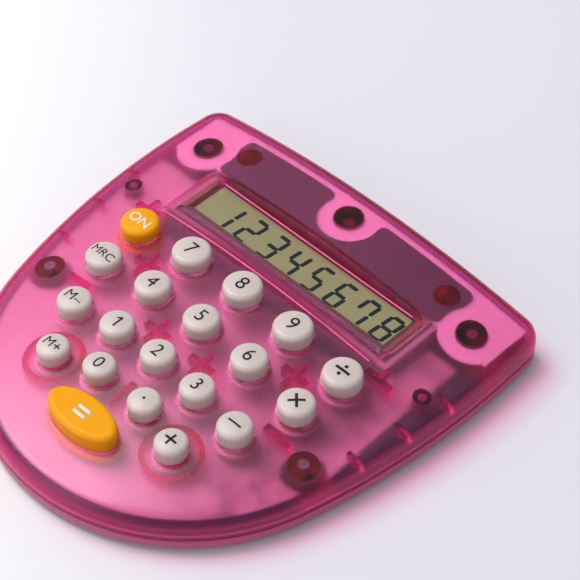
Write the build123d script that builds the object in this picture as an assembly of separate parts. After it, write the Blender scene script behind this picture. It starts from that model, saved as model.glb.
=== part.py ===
from build123d import *
import os
from math import degrees, hypot, radians, sqrt, tan

# Desk calculator with a shield-shaped translucent case, round keys and a recessed liquid crystal display.
# Millimetres. +X to the right of the reader, +Y towards the display end, +Z up.
# The origin is under the middle of the case, on the surface that it stands on.

# Case outline
CASE_LENGTH = 93.8
CASE_WIDTH = 93.2
SIDE_RADIUS = 175.0
WIDEST_BELOW_TOP = 18.1
TOP_CORNER_RADIUS = 5.0
SHOULDER_RADIUS = 3.4
WALL = 1.7

# Back shell
FOOT_STAND = 0.8
FLOOR = 1.4
BACK_EDGE_RADIUS = 1.0
PARTING_ABOVE_FLOOR = 1.0
LIP_HEIGHT = 0.8
LIP_THICKNESS = 0.8
LIP_CLEARANCE = 0.1
SEAM_CHAMFER = 0.25

# Face of the top shell, curved both ways
FACE_RADIUS_X = 250.0
FACE_RADIUS_Y = 610.0
FACE_PEAK_BELOW_TOP = 15.5
FACE_ABOVE_DOMES = 7.0

# Battery and its cap
CAP_RADIUS = 7.2
CAP_THICKNESS = 0.8
CAP_RECESS = 0.1
CAP_CLEARANCE = 0.15
CAP_CUP_WALL = 0.7
CAP_CUP_HEIGHT = 1.4
CAP_LUG_REACH = 1.2
CAP_LUG_HEIGHT = 0.6
CAP_LUG_ANGLE = 50.0
CAP_LUG_CLEARANCE = 0.1
CAP_NOTCH_EXTRA_ANGLE = 10.0
COIN_SLOT_LENGTH = 9.0
COIN_SLOT_WIDTH = 1.6
COIN_SLOT_DEPTH = 0.4
CELL_RADIUS = 5.8
CELL_THICKNESS = 2.05
CELL_STEP_RADIUS = 4.9
CELL_STEP_HEIGHT = 0.25
CELL_CLEARANCE = 0.1
CELL_BELOW_TOP = 27.1
CONTACT_THICKNESS = 0.15
CONTACT_WIDTH = 3.0
CONTACT_LENGTH = 9.0
CONTACT_CORNER_RADIUS = 0.9
CLIP_HEIGHT = 0.7
CLIP_ANGLE = 240.0
CLIP_CLEARANCE = 0.02

# Circuit board and rubber keypad
BOARD_THICKNESS = 1.2
BOARD_CLEARANCE = 0.5
BOARD_NOTCH_CLEARANCE = 2.5
BOARD_HOLE_CLEARANCE = 0.2
BOARD_UPPER_MARGIN = 0.8
SHEET_THICKNESS = 0.5
SHEET_INSET = 1.0
SHEET_BOSS_CLEARANCE = 1.25
SHEET_POST_CLEARANCE = 0.3
SHEET_HOLDER_CLEARANCE = 0.7
SHEET_WING_BELOW_TOP = 18.9
SHEET_RIGHT_MARGIN = 7.3
DOME_HEIGHT = 0.9
DOME_BASE_RADIUS = 2.9
DOME_TOP_RADIUS = 2.0
DOME_WALL = 0.5
PILL_RADIUS = 1.0
PILL_HEIGHT = 0.2

# Keys
KEY_RISE = 3.0
KEY_CROWN = 0.25
KEY_EDGE_RADIUS = 1.1
KEY_HOLE_CLEARANCE = 0.25
KEY_FLANGE_WIDTH = 0.7
KEY_FLANGE_THICKNESS = 0.7
KEY_FLANGE_CLEARANCE = 0.15
KEY_STEM_RADIUS = 2.0
EQUALS_HALF_WIDTH = 8.5
EQUALS_HALF_HEIGHT = 4.3
EQUALS_DOME_OFFSET = 4.5

# Rows of round keys, A to D from the display down. Each row bends down towards the sides on its own arc.
ROW_A_RADIUS = 4.0
ROW_B_RADIUS = 3.7
ROW_C_RADIUS = 3.5
ROW_D_RADIUS = 3.3
ROW_A_BELOW_RAMP = 5.6
ROW_B_BELOW_A = 11.1
ROW_C_BELOW_B = 11.4
ROW_D_BELOW_C = 8.9
EQUALS_BELOW_D = 10.3
ROW_A_PITCH = 14.05
ROW_B_PITCH = 13.4
ROW_C_PITCH = 11.15
ROW_D_PITCH = 10.2
ROW_A_ARC = 300.0
ROW_B_ARC = 290.0
ROW_C_ARC = 165.0
ROW_D_ARC = 42.0
ROW_D_INNER_X = 6.25

# Display
RECESS_DEPTH = 3.8
RECESS_TOP_BELOW_TOP = 17.1
WINDOW_HEIGHT = 9.0
WINDOW_WIDTH = 53.2
RAMP_LENGTH = 6.1
RAMP_SIDE = 3.0
RAMP_SIDE_RISE = 2.05
UPPER_WALL_DRAFT = 0.2
RECESS_CORNER_RADIUS = 1.5
BEZEL_WALL = 1.4
BEZEL_LIP = 0.6
POLARIZER_THICKNESS = 0.15
GLASS_THICKNESS = 0.85
REFLECTOR_THICKNESS = 0.15
GLASS_SIDE_MARGIN = 2.8
GLASS_TOP_MARGIN = 2.5
GLASS_LEDGE = 1.7
GLASS_CONTACT_MARGIN = 2.7
ZEBRA_WIDTH = 1.4
ZEBRA_CLEARANCE = 0.15
HOLDER_WALL = 1.2
HOLDER_LEDGE = 1.6
HOLDER_CLEARANCE = 0.2
HOLDER_RIM = 1.4

# Shade plate close under the face
SHADE_THICKNESS = 0.6
SHADE_GAP = 0.15
SHADE_BELOW_TOP = 4.5
SHADE_CLEARANCE = 0.1
SHADE_POST_MARGIN = 0.9
SHADE_NOTCH_CLEARANCE = 3.6
SHADE_CORNER_RADIUS = 1.5

# Bosses, posts and ribs of the shells
BOSS_RADIUS = 3.1
TOP_BOSS_BELOW_TOP = 7.8
CORNER_BOSS_FROM_SIDE = 9.9
CORNER_BOSS_BELOW_TOP = 11.9
SIDE_BOSS_FROM_SIDE = 11.2
SIDE_BOSS_BELOW_TOP = 57.1
BOARD_POST_RADIUS = 1.85
BOARD_POST_FROM_SIDE = 6.4
BOARD_POST_BELOW_TOP = 30.0
SHADE_POST_RADIUS = 2.7
SHADE_POST_FROM_BOSS = 9.2
SHADE_POST_BELOW_TOP = 8.8
SHADE_POST_TAIL = 4.5
CROSS_THICKNESS = 1.5
CROSS_ARM = 3.2
CROSS_DEPTH = 2.4
COLLAR_RADIUS = 6.2
COLLAR_WALL = 1.1
WALL_RIB_THICKNESS = 0.9
WALL_RIB_REACH = 2.6
CROSS_KEY_GAP = 1.8
SUPPORT_RADIUS = 1.5

# Screws and feet
SCREW_RADIUS = 1.1
SCREW_HEAD_RADIUS = 2.1
SCREW_HEAD_HEIGHT = 1.0
SCREW_SINK = 0.15
SCREW_LENGTH = 6.0
SCREW_CLEARANCE = 0.02
SCREW_HEAD_CLEARANCE = 0.05
SCREW_TIP_ROOM = 0.85
SCREW_SLOT = 0.5
BOARD_SCREW_RADIUS = 0.9
BOARD_SCREW_HEAD_RADIUS = 1.7
BOARD_SCREW_HEAD_HEIGHT = 0.8
BOARD_SCREW_LENGTH = 3.4
FOOT_RADIUS = 3.5
FOOT_SEAT = 0.4
FOOT_CLEARANCE = 0.05
FOOT_EDGE_RADIUS = 0.3
TOP_FOOT_FROM_SIDE = 23.6
TOP_FOOT_BELOW_TOP = 7.4
BOTTOM_FOOT_X = 18.0
BOTTOM_FOOT_ABOVE_BOTTOM = 11.0

# Reach past a surface for cuts, and tolerance for finding an edge by its place
OVERCUT = 2.0
NEAR = 0.01

# Board components
BLOB_RADIUS = 4.6
BLOB_HEIGHT = 1.0
CHIP_LENGTH = 2.0
CHIP_WIDTH = 1.25
CHIP_HEIGHT = 0.8
CHIP_X = 11.0
CHIP_PITCH = 4.0
CHIP_COUNT = 3

# Rows, worked out from the display down
ROW_A_BELOW_TOP = RECESS_TOP_BELOW_TOP + WINDOW_HEIGHT + RAMP_LENGTH + ROW_A_BELOW_RAMP
ROW_B_BELOW_TOP = ROW_A_BELOW_TOP + ROW_B_BELOW_A
ROW_C_BELOW_TOP = ROW_B_BELOW_TOP + ROW_C_BELOW_B
ROW_D_BELOW_TOP = ROW_C_BELOW_TOP + ROW_D_BELOW_C
EQUALS_BELOW_TOP = ROW_D_BELOW_TOP + EQUALS_BELOW_D

# Heights worked out from the stack, lowest first
TOP_Y = CASE_LENGTH / 2
SIDE_X = CASE_WIDTH / 2
BACK_Z = FOOT_STAND
FLOOR_Z = BACK_Z + FLOOR
PARTING_Z = FLOOR_Z + PARTING_ABOVE_FLOOR
CAP_TOP_Z = BACK_Z + CAP_RECESS + CAP_THICKNESS
CELL_BOTTOM_Z = CAP_TOP_Z + CELL_CLEARANCE
CELL_TOP_Z = CELL_BOTTOM_Z + CELL_THICKNESS
BOARD_BOTTOM_Z = CELL_TOP_Z + CONTACT_THICKNESS
BOARD_TOP_Z = BOARD_BOTTOM_Z + BOARD_THICKNESS
SHEET_TOP_Z = BOARD_TOP_Z + SHEET_THICKNESS
DOME_TOP_Z = SHEET_TOP_Z + DOME_HEIGHT
FACE_PEAK_Z = DOME_TOP_Z + FACE_ABOVE_DOMES
RECESS_Z = FACE_PEAK_Z - RECESS_DEPTH
LCD_FRONT_Z = RECESS_Z - BEZEL_LIP
FACE_PEAK_Y = TOP_Y - FACE_PEAK_BELOW_TOP
BOSS_END_Z = BOARD_BOTTOM_Z


def from_top(distance):
    """Y of a line that lies a distance below the top edge of the case."""
    return TOP_Y - distance


def both_sides(x, y):
    """A point and its mirror image across the middle plane."""
    return [(-x, y), (x, y)]


def face_z(x, y, drop=0.0):
    """Height of the curved face, or of its inward offset by drop."""
    ring = FACE_RADIUS_Y - FACE_RADIUS_X + sqrt((FACE_RADIUS_X - drop) ** 2 - x ** 2)
    return FACE_PEAK_Z - FACE_RADIUS_Y + sqrt(ring ** 2 - (y - FACE_PEAK_Y) ** 2)


def lowest_face_z(x, y, reach_x, reach_y, drop):
    """Lowest height of the offset face over the corners of a small area."""
    return min(face_z(x + sx * reach_x, y + sy * reach_y, drop) for sx in (-1, 0, 1) for sy in (-1, 0, 1))


def case_outline(inset):
    """Shield outline: straight top, two wide side arcs and a round lower end, offset inwards."""
    side_r = SIDE_RADIUS - inset
    corner_r = TOP_CORNER_RADIUS - inset
    top = TOP_Y - inset
    side_cx = SIDE_X - SIDE_RADIUS
    side_cy = from_top(WIDEST_BELOW_TOP)
    drop = side_cy + TOP_Y
    end_r = (SIDE_RADIUS ** 2 - side_cx ** 2 - drop ** 2) / (2 * (SIDE_RADIUS - drop))
    end_cy = end_r - TOP_Y
    corner_cy = TOP_Y - TOP_CORNER_RADIUS
    corner_cx = side_cx + sqrt((SIDE_RADIUS - TOP_CORNER_RADIUS) ** 2 - (corner_cy - side_cy) ** 2)
    side_start = along(side_cx, side_cy, corner_cx, corner_cy, side_r)
    side_end = along(side_cx, side_cy, 0, end_cy, side_r)
    side_mid = along(side_cx, side_cy, SIDE_X, (side_start[1] + side_end[1]) / 2, side_r)
    bend = sqrt(0.5) * corner_r
    right = [
        Line((0, top), (corner_cx, top)),
        ThreePointArc((corner_cx, top), (corner_cx + bend, corner_cy + bend), side_start),
        ThreePointArc(side_start, side_mid, side_end),
    ]
    end = ThreePointArc(side_end, (0, end_cy - end_r + inset), (-side_end[0], side_end[1]))
    left = [mirror(edge, about=Plane.YZ) for edge in right]
    return make_face(right + [end] + left)


def along(from_x, from_y, to_x, to_y, distance):
    """Point at a distance from one point in the direction of another."""
    scale = distance / hypot(to_x - from_x, to_y - from_y)
    return (from_x + (to_x - from_x) * scale, from_y + (to_y - from_y) * scale)


def case_prism(inset, low, high):
    """Block of the case outline between two heights."""
    return extrude(Pos(0, 0, low) * case_outline(inset), high - low)


def disc(x, y, radius, low, high):
    """Upright cylinder between two heights."""
    return Pos(x, y, (low + high) / 2) * Cylinder(radius, high - low)


def block(x0, x1, y0, y1, low, high):
    """Box given by its limits."""
    middle = Pos((x0 + x1) / 2, (y0 + y1) / 2, (low + high) / 2)
    return middle * Box(x1 - x0, y1 - y0, high - low)


def under_face(drop):
    """Everything under the curved face, or under its inward offset by drop.

    The crest is one exact circular arc, swept about an axis across the case.
    """
    half = CASE_WIDTH
    radius = FACE_RADIUS_X - drop
    centre_z = FACE_PEAK_Z - FACE_RADIUS_X
    lean = sqrt(1 - (half / radius) ** 2)
    edge_z = centre_z + radius * lean
    base_z = edge_z - CASE_LENGTH
    crest = Bezier((-half, edge_z), (0, centre_z + radius / lean), (half, edge_z), weights=[1, lean, 1])
    sides = Polyline((half, edge_z), (half, base_z), (-half, base_z), (-half, edge_z))
    section = Plane((0, FACE_PEAK_Y, 0), x_dir=(1, 0, 0), z_dir=(0, -1, 0)) * make_face([crest, sides])
    axis = Axis((0, FACE_PEAK_Y, FACE_PEAK_Z - FACE_RADIUS_Y), (1, 0, 0))
    sweep = degrees(CASE_LENGTH / FACE_RADIUS_Y)
    return revolve(section.rotate(axis, -sweep), axis, 2 * sweep)


def top_form(drop, low):
    """Rounded block under the face, offset inwards by drop, down to a height."""
    form = case_prism(drop, low, FACE_PEAK_Z + WALL) & under_face(drop)
    crest = form.faces().sort_by(Axis.Z)[-1]
    return fillet(crest.edges(), SHOULDER_RADIUS - drop)


def recess(grow):
    """Display recess: a ramp below, slopes at the sides and a steep upper wall. Grow gives its skin."""
    window_top = from_top(RECESS_TOP_BELOW_TOP)
    window_low = window_top - WINDOW_HEIGHT
    ridge_y = window_low - RAMP_LENGTH
    steep = hypot(RAMP_LENGTH, face_z(0, ridge_y) - RECESS_Z) / (face_z(0, ridge_y) - RECESS_Z)
    floor = RECESS_Z - (BEZEL_LIP if grow else 0.0)
    above = FACE_PEAK_Z + WALL
    low_y = window_low - grow * steep
    half = WINDOW_WIDTH / 2 + grow
    wide = half + (above - floor) * RAMP_SIDE / RAMP_SIDE_RISE
    sections = []
    for x in (-wide, 0, wide):
        ridge_z = face_z(x, ridge_y)
        points = [
            (low_y, floor),
            (window_top + grow, floor),
            (window_top + grow + UPPER_WALL_DRAFT, above),
            (ridge_y - grow * steep, above),
            (ridge_y - grow * steep, ridge_z + floor - RECESS_Z),
        ]
        across = Plane((x, 0, 0), x_dir=(0, 1, 0), z_dir=(1, 0, 0))
        sections.append(across * make_face(Polyline(*points, close=True)))
    trough = loft(sections)
    ends = make_face(Polyline((-half, floor), (half, floor), (wide, above), (-wide, above), close=True))
    ends = Plane((0, window_top + CASE_LENGTH / 2, 0), x_dir=(1, 0, 0), z_dir=(0, -1, 0)) * ends
    hollow = trough & extrude(ends, CASE_LENGTH)
    upright = [e for e in hollow.edges() if upper_corner(e, window_top + grow, half)]
    return fillet(upright, RECESS_CORNER_RADIUS + grow)


def upper_corner(edge, wall_y, half):
    """True for the two edges where the recess's upper wall meets its side slopes."""
    middle = edge.center()
    return abs(middle.Y - wall_y) < UPPER_WALL_DRAFT + NEAR and abs(middle.X) > half


def key_table():
    """Name, x, y and radius of each round key, row by row."""
    rows = [
        (ROW_A_RADIUS, ROW_A_BELOW_TOP, ROW_A_PITCH, ROW_A_ARC, ["on", "7", "8", "9", "divide"]),
        (ROW_B_RADIUS, ROW_B_BELOW_TOP, ROW_B_PITCH, ROW_B_ARC, ["mrc", "4", "5", "6", "multiply"]),
        (ROW_C_RADIUS, ROW_C_BELOW_TOP, ROW_C_PITCH, ROW_C_ARC, ["memory_minus", "1", "2", "3", "minus"]),
    ]
    table = []
    for radius, below_top, pitch, arc, names in rows:
        for place, name in enumerate(names):
            x = (place - 2) * pitch
            table.append((name, x, from_top(below_top) - x ** 2 / (2 * arc), radius))
    outer_x = ROW_D_INNER_X + ROW_D_PITCH
    places = (-outer_x, -ROW_D_INNER_X, ROW_D_INNER_X, outer_x)
    for name, x in zip(["memory_plus", "0", "point", "plus"], places):
        table.append((name, x, from_top(ROW_D_BELOW_TOP) - x ** 2 / (2 * ROW_D_ARC), ROW_D_RADIUS))
    return table


def equals_ellipse(grow):
    """Outline of the wide equals key, or of its hole and flange."""
    return Pos(0, from_top(EQUALS_BELOW_TOP)) * Ellipse(EQUALS_HALF_WIDTH + grow, EQUALS_HALF_HEIGHT + grow)


def case_bosses():
    """Places of the bosses that the case screws hold."""
    places = [(0, from_top(TOP_BOSS_BELOW_TOP))]
    places += both_sides(SIDE_X - CORNER_BOSS_FROM_SIDE, from_top(CORNER_BOSS_BELOW_TOP))
    places += both_sides(SIDE_X - SIDE_BOSS_FROM_SIDE, from_top(SIDE_BOSS_BELOW_TOP))
    return places


def board_posts():
    """Places of the two posts that the board is screwed to."""
    return both_sides(SIDE_X - BOARD_POST_FROM_SIDE, from_top(BOARD_POST_BELOW_TOP))


def shade_posts():
    """Places of the two short posts that the shade plate is pushed on."""
    post_x = SIDE_X - CORNER_BOSS_FROM_SIDE - SHADE_POST_FROM_BOSS
    return both_sides(post_x, from_top(SHADE_POST_BELOW_TOP))


def between(first, second):
    """Point midway between two named keys, or between groups of them."""
    table = {name: (x, y) for name, x, y, radius in key_table()}
    points = [table[name] for name in first + second]
    count = len(points)
    return (sum(p[0] for p in points) / count, sum(p[1] for p in points) / count)


def rib_bar(x, y, left, right, down, up):
    """Bar of a rib that hangs from the face. Its four arms reach from x, y by these lengths."""
    low = face_z(x, y, WALL) - CROSS_DEPTH
    return block(x - left, x + right, y - down, y + up, low, FACE_PEAK_Z)


def rib_cross(x, y, down):
    """Cross-shaped rib that stiffens the face. Down is its lower arm."""
    half = CROSS_THICKNESS / 2
    return [
        rib_bar(x, y, CROSS_ARM, CROSS_ARM, half, half),
        rib_bar(x, y, half, half, down, CROSS_ARM),
    ]


def hanging_ribs():
    """Ribs that stiffen the face, and collars that press the keypad sheet from above."""
    half = CROSS_THICKNESS / 2
    pieces = []
    for first, second in ((["on", "7"], ["mrc", "4"]), (["9", "divide"], ["6", "multiply"]),
                          (["4", "5"], ["1", "2"]), (["5", "6"], ["2", "3"])):
        x, y = between(first, second)
        pieces += rib_cross(x, y, CROSS_ARM)
    table = {name: (x, y) for name, x, y, radius in key_table()}
    for name in ("on", "divide"):
        x, y = table[name]
        out = 1 if x > 0 else -1
        rib_y = y + ROW_A_RADIUS + CROSS_KEY_GAP
        pieces += rib_cross(x + out * ROW_A_RADIUS, rib_y, half)
    for first, second in ((["mrc"], ["memory_minus"]), (["multiply"], ["minus"])):
        x, y = between(first, second)
        x += CROSS_ARM if x > 0 else -CROSS_ARM
        pieces.append(rib_bar(x, y, CROSS_ARM, CROSS_ARM, half, half))
    x, y = between(["0"], ["point"])
    pieces.append(rib_bar(x, y, half, half, CROSS_ARM, CROSS_ARM))
    for name in ("memory_plus", "plus"):
        x, y = table[name]
        collar = disc(x, y, COLLAR_RADIUS, SHEET_TOP_Z, FACE_PEAK_Z)
        pieces.append(collar - disc(x, y, COLLAR_RADIUS - COLLAR_WALL, SHEET_TOP_Z, FACE_PEAK_Z))
    return pieces


def side_ribs():
    """Short ribs that stand off the side walls and hold the edge of the sheet and board down."""
    half = WALL_RIB_THICKNESS / 2
    reach = WALL + BOARD_CLEARANCE + WALL_RIB_REACH
    pieces = []
    band = case_prism(0, SHEET_TOP_Z, FACE_PEAK_Z) - case_prism(reach, SHEET_TOP_Z, FACE_PEAK_Z)
    for y in (from_top(CELL_BELOW_TOP), from_top(ROW_A_BELOW_TOP), from_top(ROW_B_BELOW_TOP)):
        pieces.append(band & block(-CASE_WIDTH, CASE_WIDTH, y - half, y + half, SHEET_TOP_Z, FACE_PEAK_Z))
    return pieces


def make_top_shell():
    """Translucent top shell with its holes, recess, bosses, posts and ribs."""
    hanging = hanging_ribs() + side_ribs()
    hanging += [disc(x, y, BOSS_RADIUS, BOSS_END_Z, FACE_PEAK_Z) for x, y in case_bosses()]
    hanging += [disc(x, y, BOARD_POST_RADIUS, BOARD_TOP_Z, FACE_PEAK_Z) for x, y in board_posts()]
    for x, y in shade_posts():
        post_low = face_z(x, y, WALL + SHADE_GAP + SHADE_THICKNESS) - SHADE_POST_TAIL
        hanging.append(disc(x, y, SHADE_POST_RADIUS, post_low, FACE_PEAK_Z))
    cavity = top_form(WALL, PARTING_Z - WALL).cut(recess(BEZEL_WALL), *hanging)
    outer = top_form(0, PARTING_Z)
    outer = chamfer(outer.faces().sort_by(Axis.Z)[0].edges(), SEAM_CHAMFER)
    shell = outer - cavity - recess(0)
    window_top = from_top(RECESS_TOP_BELOW_TOP)
    half = WINDOW_WIDTH / 2
    window_low = window_top - WINDOW_HEIGHT
    cuts = [block(-half, half, window_low, window_top, LCD_FRONT_Z - BEZEL_LIP, RECESS_Z + BEZEL_LIP)]
    rebate = WALL - LIP_THICKNESS - LIP_CLEARANCE
    rebate_top = PARTING_Z + LIP_HEIGHT + LIP_CLEARANCE
    cuts.append(case_prism(rebate, PARTING_Z, rebate_top) - case_prism(WALL, PARTING_Z, rebate_top))
    high = FACE_PEAK_Z + WALL
    for name, x, y, radius in key_table():
        cuts.append(disc(x, y, radius + KEY_HOLE_CLEARANCE, face_z(x, y, WALL) - WALL, high))
    low = face_z(0, from_top(EQUALS_BELOW_TOP), WALL) - WALL
    cuts.append(extrude(Pos(0, 0, low) * equals_ellipse(KEY_HOLE_CLEARANCE), high - low))
    for x, y in case_bosses():
        tip = screw_base_z() + SCREW_LENGTH + SCREW_TIP_ROOM
        cuts.append(disc(x, y, SCREW_RADIUS + SCREW_CLEARANCE, BOSS_END_Z, tip))
    for x, y in board_posts():
        tip = BOARD_BOTTOM_Z + BOARD_SCREW_LENGTH + SCREW_TIP_ROOM
        cuts.append(disc(x, y, BOARD_SCREW_RADIUS + SCREW_CLEARANCE, BOARD_TOP_Z, tip))
    return shell.cut(*cuts)


def screw_base_z():
    """Height of the seat under a case screw's head."""
    return BACK_Z + SCREW_SINK + SCREW_HEAD_HEIGHT


def wedge(radius, low, high, angle):
    """Wedge about the +Y axis that covers an angle, under a half turn, out past a radius."""
    reach = radius + OVERCUT
    side = reach * tan(radians(angle / 2))
    outline = Polyline((0, 0), (side, reach), (-side, reach), close=True)
    return extrude(Pos(0, 0, low) * make_face(outline), high - low)


def ring_pair(inner, outer, low, high, angle):
    """Two opposite pieces of a ring across the Y axis, each spanning an angle."""
    ring = disc(0, 0, outer, low, high) - disc(0, 0, inner, low, high)
    sector = wedge(outer, low, high, angle)
    return ring & (sector + sector.rotate(Axis.Z, 180))


def make_back_shell():
    """Back shell with its lip, screw posts, board supports, foot seats and battery opening."""
    shell = case_prism(0, BACK_Z, PARTING_Z)
    shell = fillet(shell.faces().sort_by(Axis.Z)[0].edges(), BACK_EDGE_RADIUS)
    shell = chamfer(shell.faces().sort_by(Axis.Z)[-1].edges(), SEAM_CHAMFER)
    shell = shell - case_prism(WALL, FLOOR_Z, PARTING_Z)
    lip = case_prism(WALL - LIP_THICKNESS, FLOOR_Z, PARTING_Z + LIP_HEIGHT)
    standing = [lip - case_prism(WALL, FLOOR_Z, PARTING_Z + LIP_HEIGHT)]
    standing += [disc(x, y, BOSS_RADIUS, BACK_Z, BOSS_END_Z) for x, y in case_bosses()]
    for first, second in ((["on", "7"], ["mrc", "4"]), (["9", "divide"], ["6", "multiply"]),
                          (["4", "5"], ["1", "2"]), (["5", "6"], ["2", "3"]), (["0"], ["point"])):
        x, y = between(first, second)
        standing.append(disc(x, y, SUPPORT_RADIUS, FLOOR_Z, BOARD_BOTTOM_Z))
    shell = shell.fuse(*standing)
    cuts = []
    for x, y in case_bosses():
        cuts.append(disc(x, y, SCREW_HEAD_RADIUS + SCREW_HEAD_CLEARANCE, BACK_Z - OVERCUT, screw_base_z()))
        cuts.append(disc(x, y, SCREW_RADIUS + SCREW_CLEARANCE, BACK_Z - OVERCUT, BOSS_END_Z))
    for x, y in foot_places():
        cuts.append(disc(x, y, FOOT_RADIUS + FOOT_CLEARANCE, BACK_Z - OVERCUT, BACK_Z + FOOT_SEAT))
    cell_y = from_top(CELL_BELOW_TOP)
    opening = CAP_RADIUS + CAP_CLEARANCE
    cuts.append(disc(0, cell_y, opening, BACK_Z - OVERCUT, FLOOR_Z))
    notch_angle = CAP_LUG_ANGLE + CAP_NOTCH_EXTRA_ANGLE
    notch = ring_pair(opening - OVERCUT, opening + CAP_LUG_REACH, BACK_Z - OVERCUT, FLOOR_Z, notch_angle)
    cuts.append(Pos(0, cell_y) * notch.rotate(Axis.Z, 90))
    return shell.cut(*cuts)


def foot_places():
    """Places of the four feet."""
    places = both_sides(SIDE_X - TOP_FOOT_FROM_SIDE, from_top(TOP_FOOT_BELOW_TOP))
    return places + both_sides(BOTTOM_FOOT_X, BOTTOM_FOOT_ABOVE_BOTTOM - TOP_Y)


def make_feet():
    """Four rubber feet, glued into their seats."""
    feet = []
    for x, y in foot_places():
        foot = disc(x, y, FOOT_RADIUS, 0, BACK_Z + FOOT_SEAT)
        feet.append(fillet(foot.faces().sort_by(Axis.Z)[0].edges(), FOOT_EDGE_RADIUS))
    return Compound(children=feet)


def make_board():
    """Circuit board, cut away above the display holder and round the case bosses, drilled for its screws."""
    board = case_prism(WALL + BOARD_CLEARANCE, BOARD_BOTTOM_Z, BOARD_TOP_Z)
    notch = BOSS_RADIUS + BOARD_NOTCH_CLEARANCE
    upper_y = holder_top_y() + BOARD_UPPER_MARGIN
    cuts = [block(-CASE_WIDTH, CASE_WIDTH, upper_y, CASE_LENGTH, BOARD_BOTTOM_Z, BOARD_TOP_Z)]
    for x, y in case_bosses():
        cuts.append(disc(x, y, notch, BOARD_BOTTOM_Z, BOARD_TOP_Z))
        if x != 0 and y > from_top(CELL_BELOW_TOP):
            left = x if x > 0 else -CASE_WIDTH
            right = x if x < 0 else CASE_WIDTH
            cuts.append(block(left, right, y - notch, CASE_LENGTH, BOARD_BOTTOM_Z, BOARD_TOP_Z))
    for x, y in board_posts():
        cuts.append(disc(x, y, BOARD_SCREW_RADIUS + BOARD_HOLE_CLEARANCE, BOARD_BOTTOM_Z, BOARD_TOP_Z))
    return board.cut(*cuts)


def make_shade():
    """Dark plate close under the face above the display, cut away round the case bosses."""
    half = shade_posts()[1][0] + SHADE_POST_RADIUS + SHADE_POST_MARGIN
    low_y = from_top(RECESS_TOP_BELOW_TOP) + BEZEL_WALL + UPPER_WALL_DRAFT + SHADE_CLEARANCE
    top_y = from_top(SHADE_BELOW_TOP)
    outline = Pos(0, (low_y + top_y) / 2) * Rectangle(2 * half, top_y - low_y)
    for x, y in case_bosses():
        outline = outline - Pos(x, y) * Circle(BOSS_RADIUS + SHADE_NOTCH_CLEARANCE)
    outline = fillet(outline.vertices(), SHADE_CORNER_RADIUS)
    drop = WALL + SHADE_GAP
    plate = extrude(Pos(0, 0, BOARD_TOP_Z) * outline, FACE_PEAK_Z - BOARD_TOP_Z) & under_face(drop)
    plate = plate - under_face(drop + SHADE_THICKNESS)
    holes = [disc(x, y, SHADE_POST_RADIUS, BOARD_TOP_Z, FACE_PEAK_Z) for x, y in shade_posts()]
    return plate.cut(*holes)


def dome_places():
    """Places of the keypad domes: one under each round key and two under the equals key."""
    places = [(x, y) for name, x, y, radius in key_table()]
    return places + both_sides(EQUALS_DOME_OFFSET, from_top(EQUALS_BELOW_TOP))


def make_keypad():
    """Rubber keypad: a sheet with a wing beside each end of the display, hollow domes and contact pills.

    On the right the sheet stops short and leaves the edge of the board bare.
    """
    sheet = case_prism(WALL + BOARD_CLEARANCE + SHEET_INSET, BOARD_TOP_Z, SHEET_TOP_Z)
    wing_y = from_top(SHEET_WING_BELOW_TOP)
    middle_y = from_top(ROW_A_BELOW_TOP) + ROW_A_RADIUS
    middle_x = holder_half_width() + HOLDER_WALL + SHEET_HOLDER_CLEARANCE
    away = [
        block(-CASE_WIDTH, CASE_WIDTH, wing_y, CASE_LENGTH, BOARD_TOP_Z, SHEET_TOP_Z),
        block(SIDE_X - SHEET_RIGHT_MARGIN, CASE_WIDTH, -CASE_LENGTH, CASE_LENGTH, BOARD_TOP_Z, SHEET_TOP_Z),
        block(-middle_x, middle_x, middle_y, CASE_LENGTH, BOARD_TOP_Z, SHEET_TOP_Z),
    ]
    for x, y in case_bosses():
        away.append(disc(x, y, BOSS_RADIUS + SHEET_BOSS_CLEARANCE, BOARD_TOP_Z, SHEET_TOP_Z))
    for x, y in board_posts():
        away.append(disc(x, y, BOARD_POST_RADIUS + SHEET_POST_CLEARANCE, BOARD_TOP_Z, SHEET_TOP_Z))
    sheet = sheet.cut(*away)
    domes = []
    hollows = []
    pills = []
    hollow_top = DOME_TOP_Z - DOME_WALL
    for x, y in dome_places():
        middle = Pos(x, y, (SHEET_TOP_Z + DOME_TOP_Z) / 2)
        domes.append(middle * Cone(DOME_BASE_RADIUS, DOME_TOP_RADIUS, DOME_HEIGHT))
        inner = Cone(DOME_BASE_RADIUS - DOME_WALL, DOME_TOP_RADIUS - DOME_WALL, hollow_top - BOARD_TOP_Z)
        hollows.append(Pos(x, y, (BOARD_TOP_Z + hollow_top) / 2) * inner)
        pills.append(disc(x, y, PILL_RADIUS, hollow_top - PILL_HEIGHT, hollow_top))
    return sheet.fuse(*domes).cut(*hollows).fuse(*pills)


def key_heights(x, y, reach_x, reach_y):
    """Top of the cap, and top and bottom of the flange, for a key at a place."""
    flange_top = lowest_face_z(x, y, reach_x, reach_y, WALL) - KEY_FLANGE_CLEARANCE
    return face_z(x, y) + KEY_RISE, flange_top, flange_top - KEY_FLANGE_THICKNESS


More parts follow.
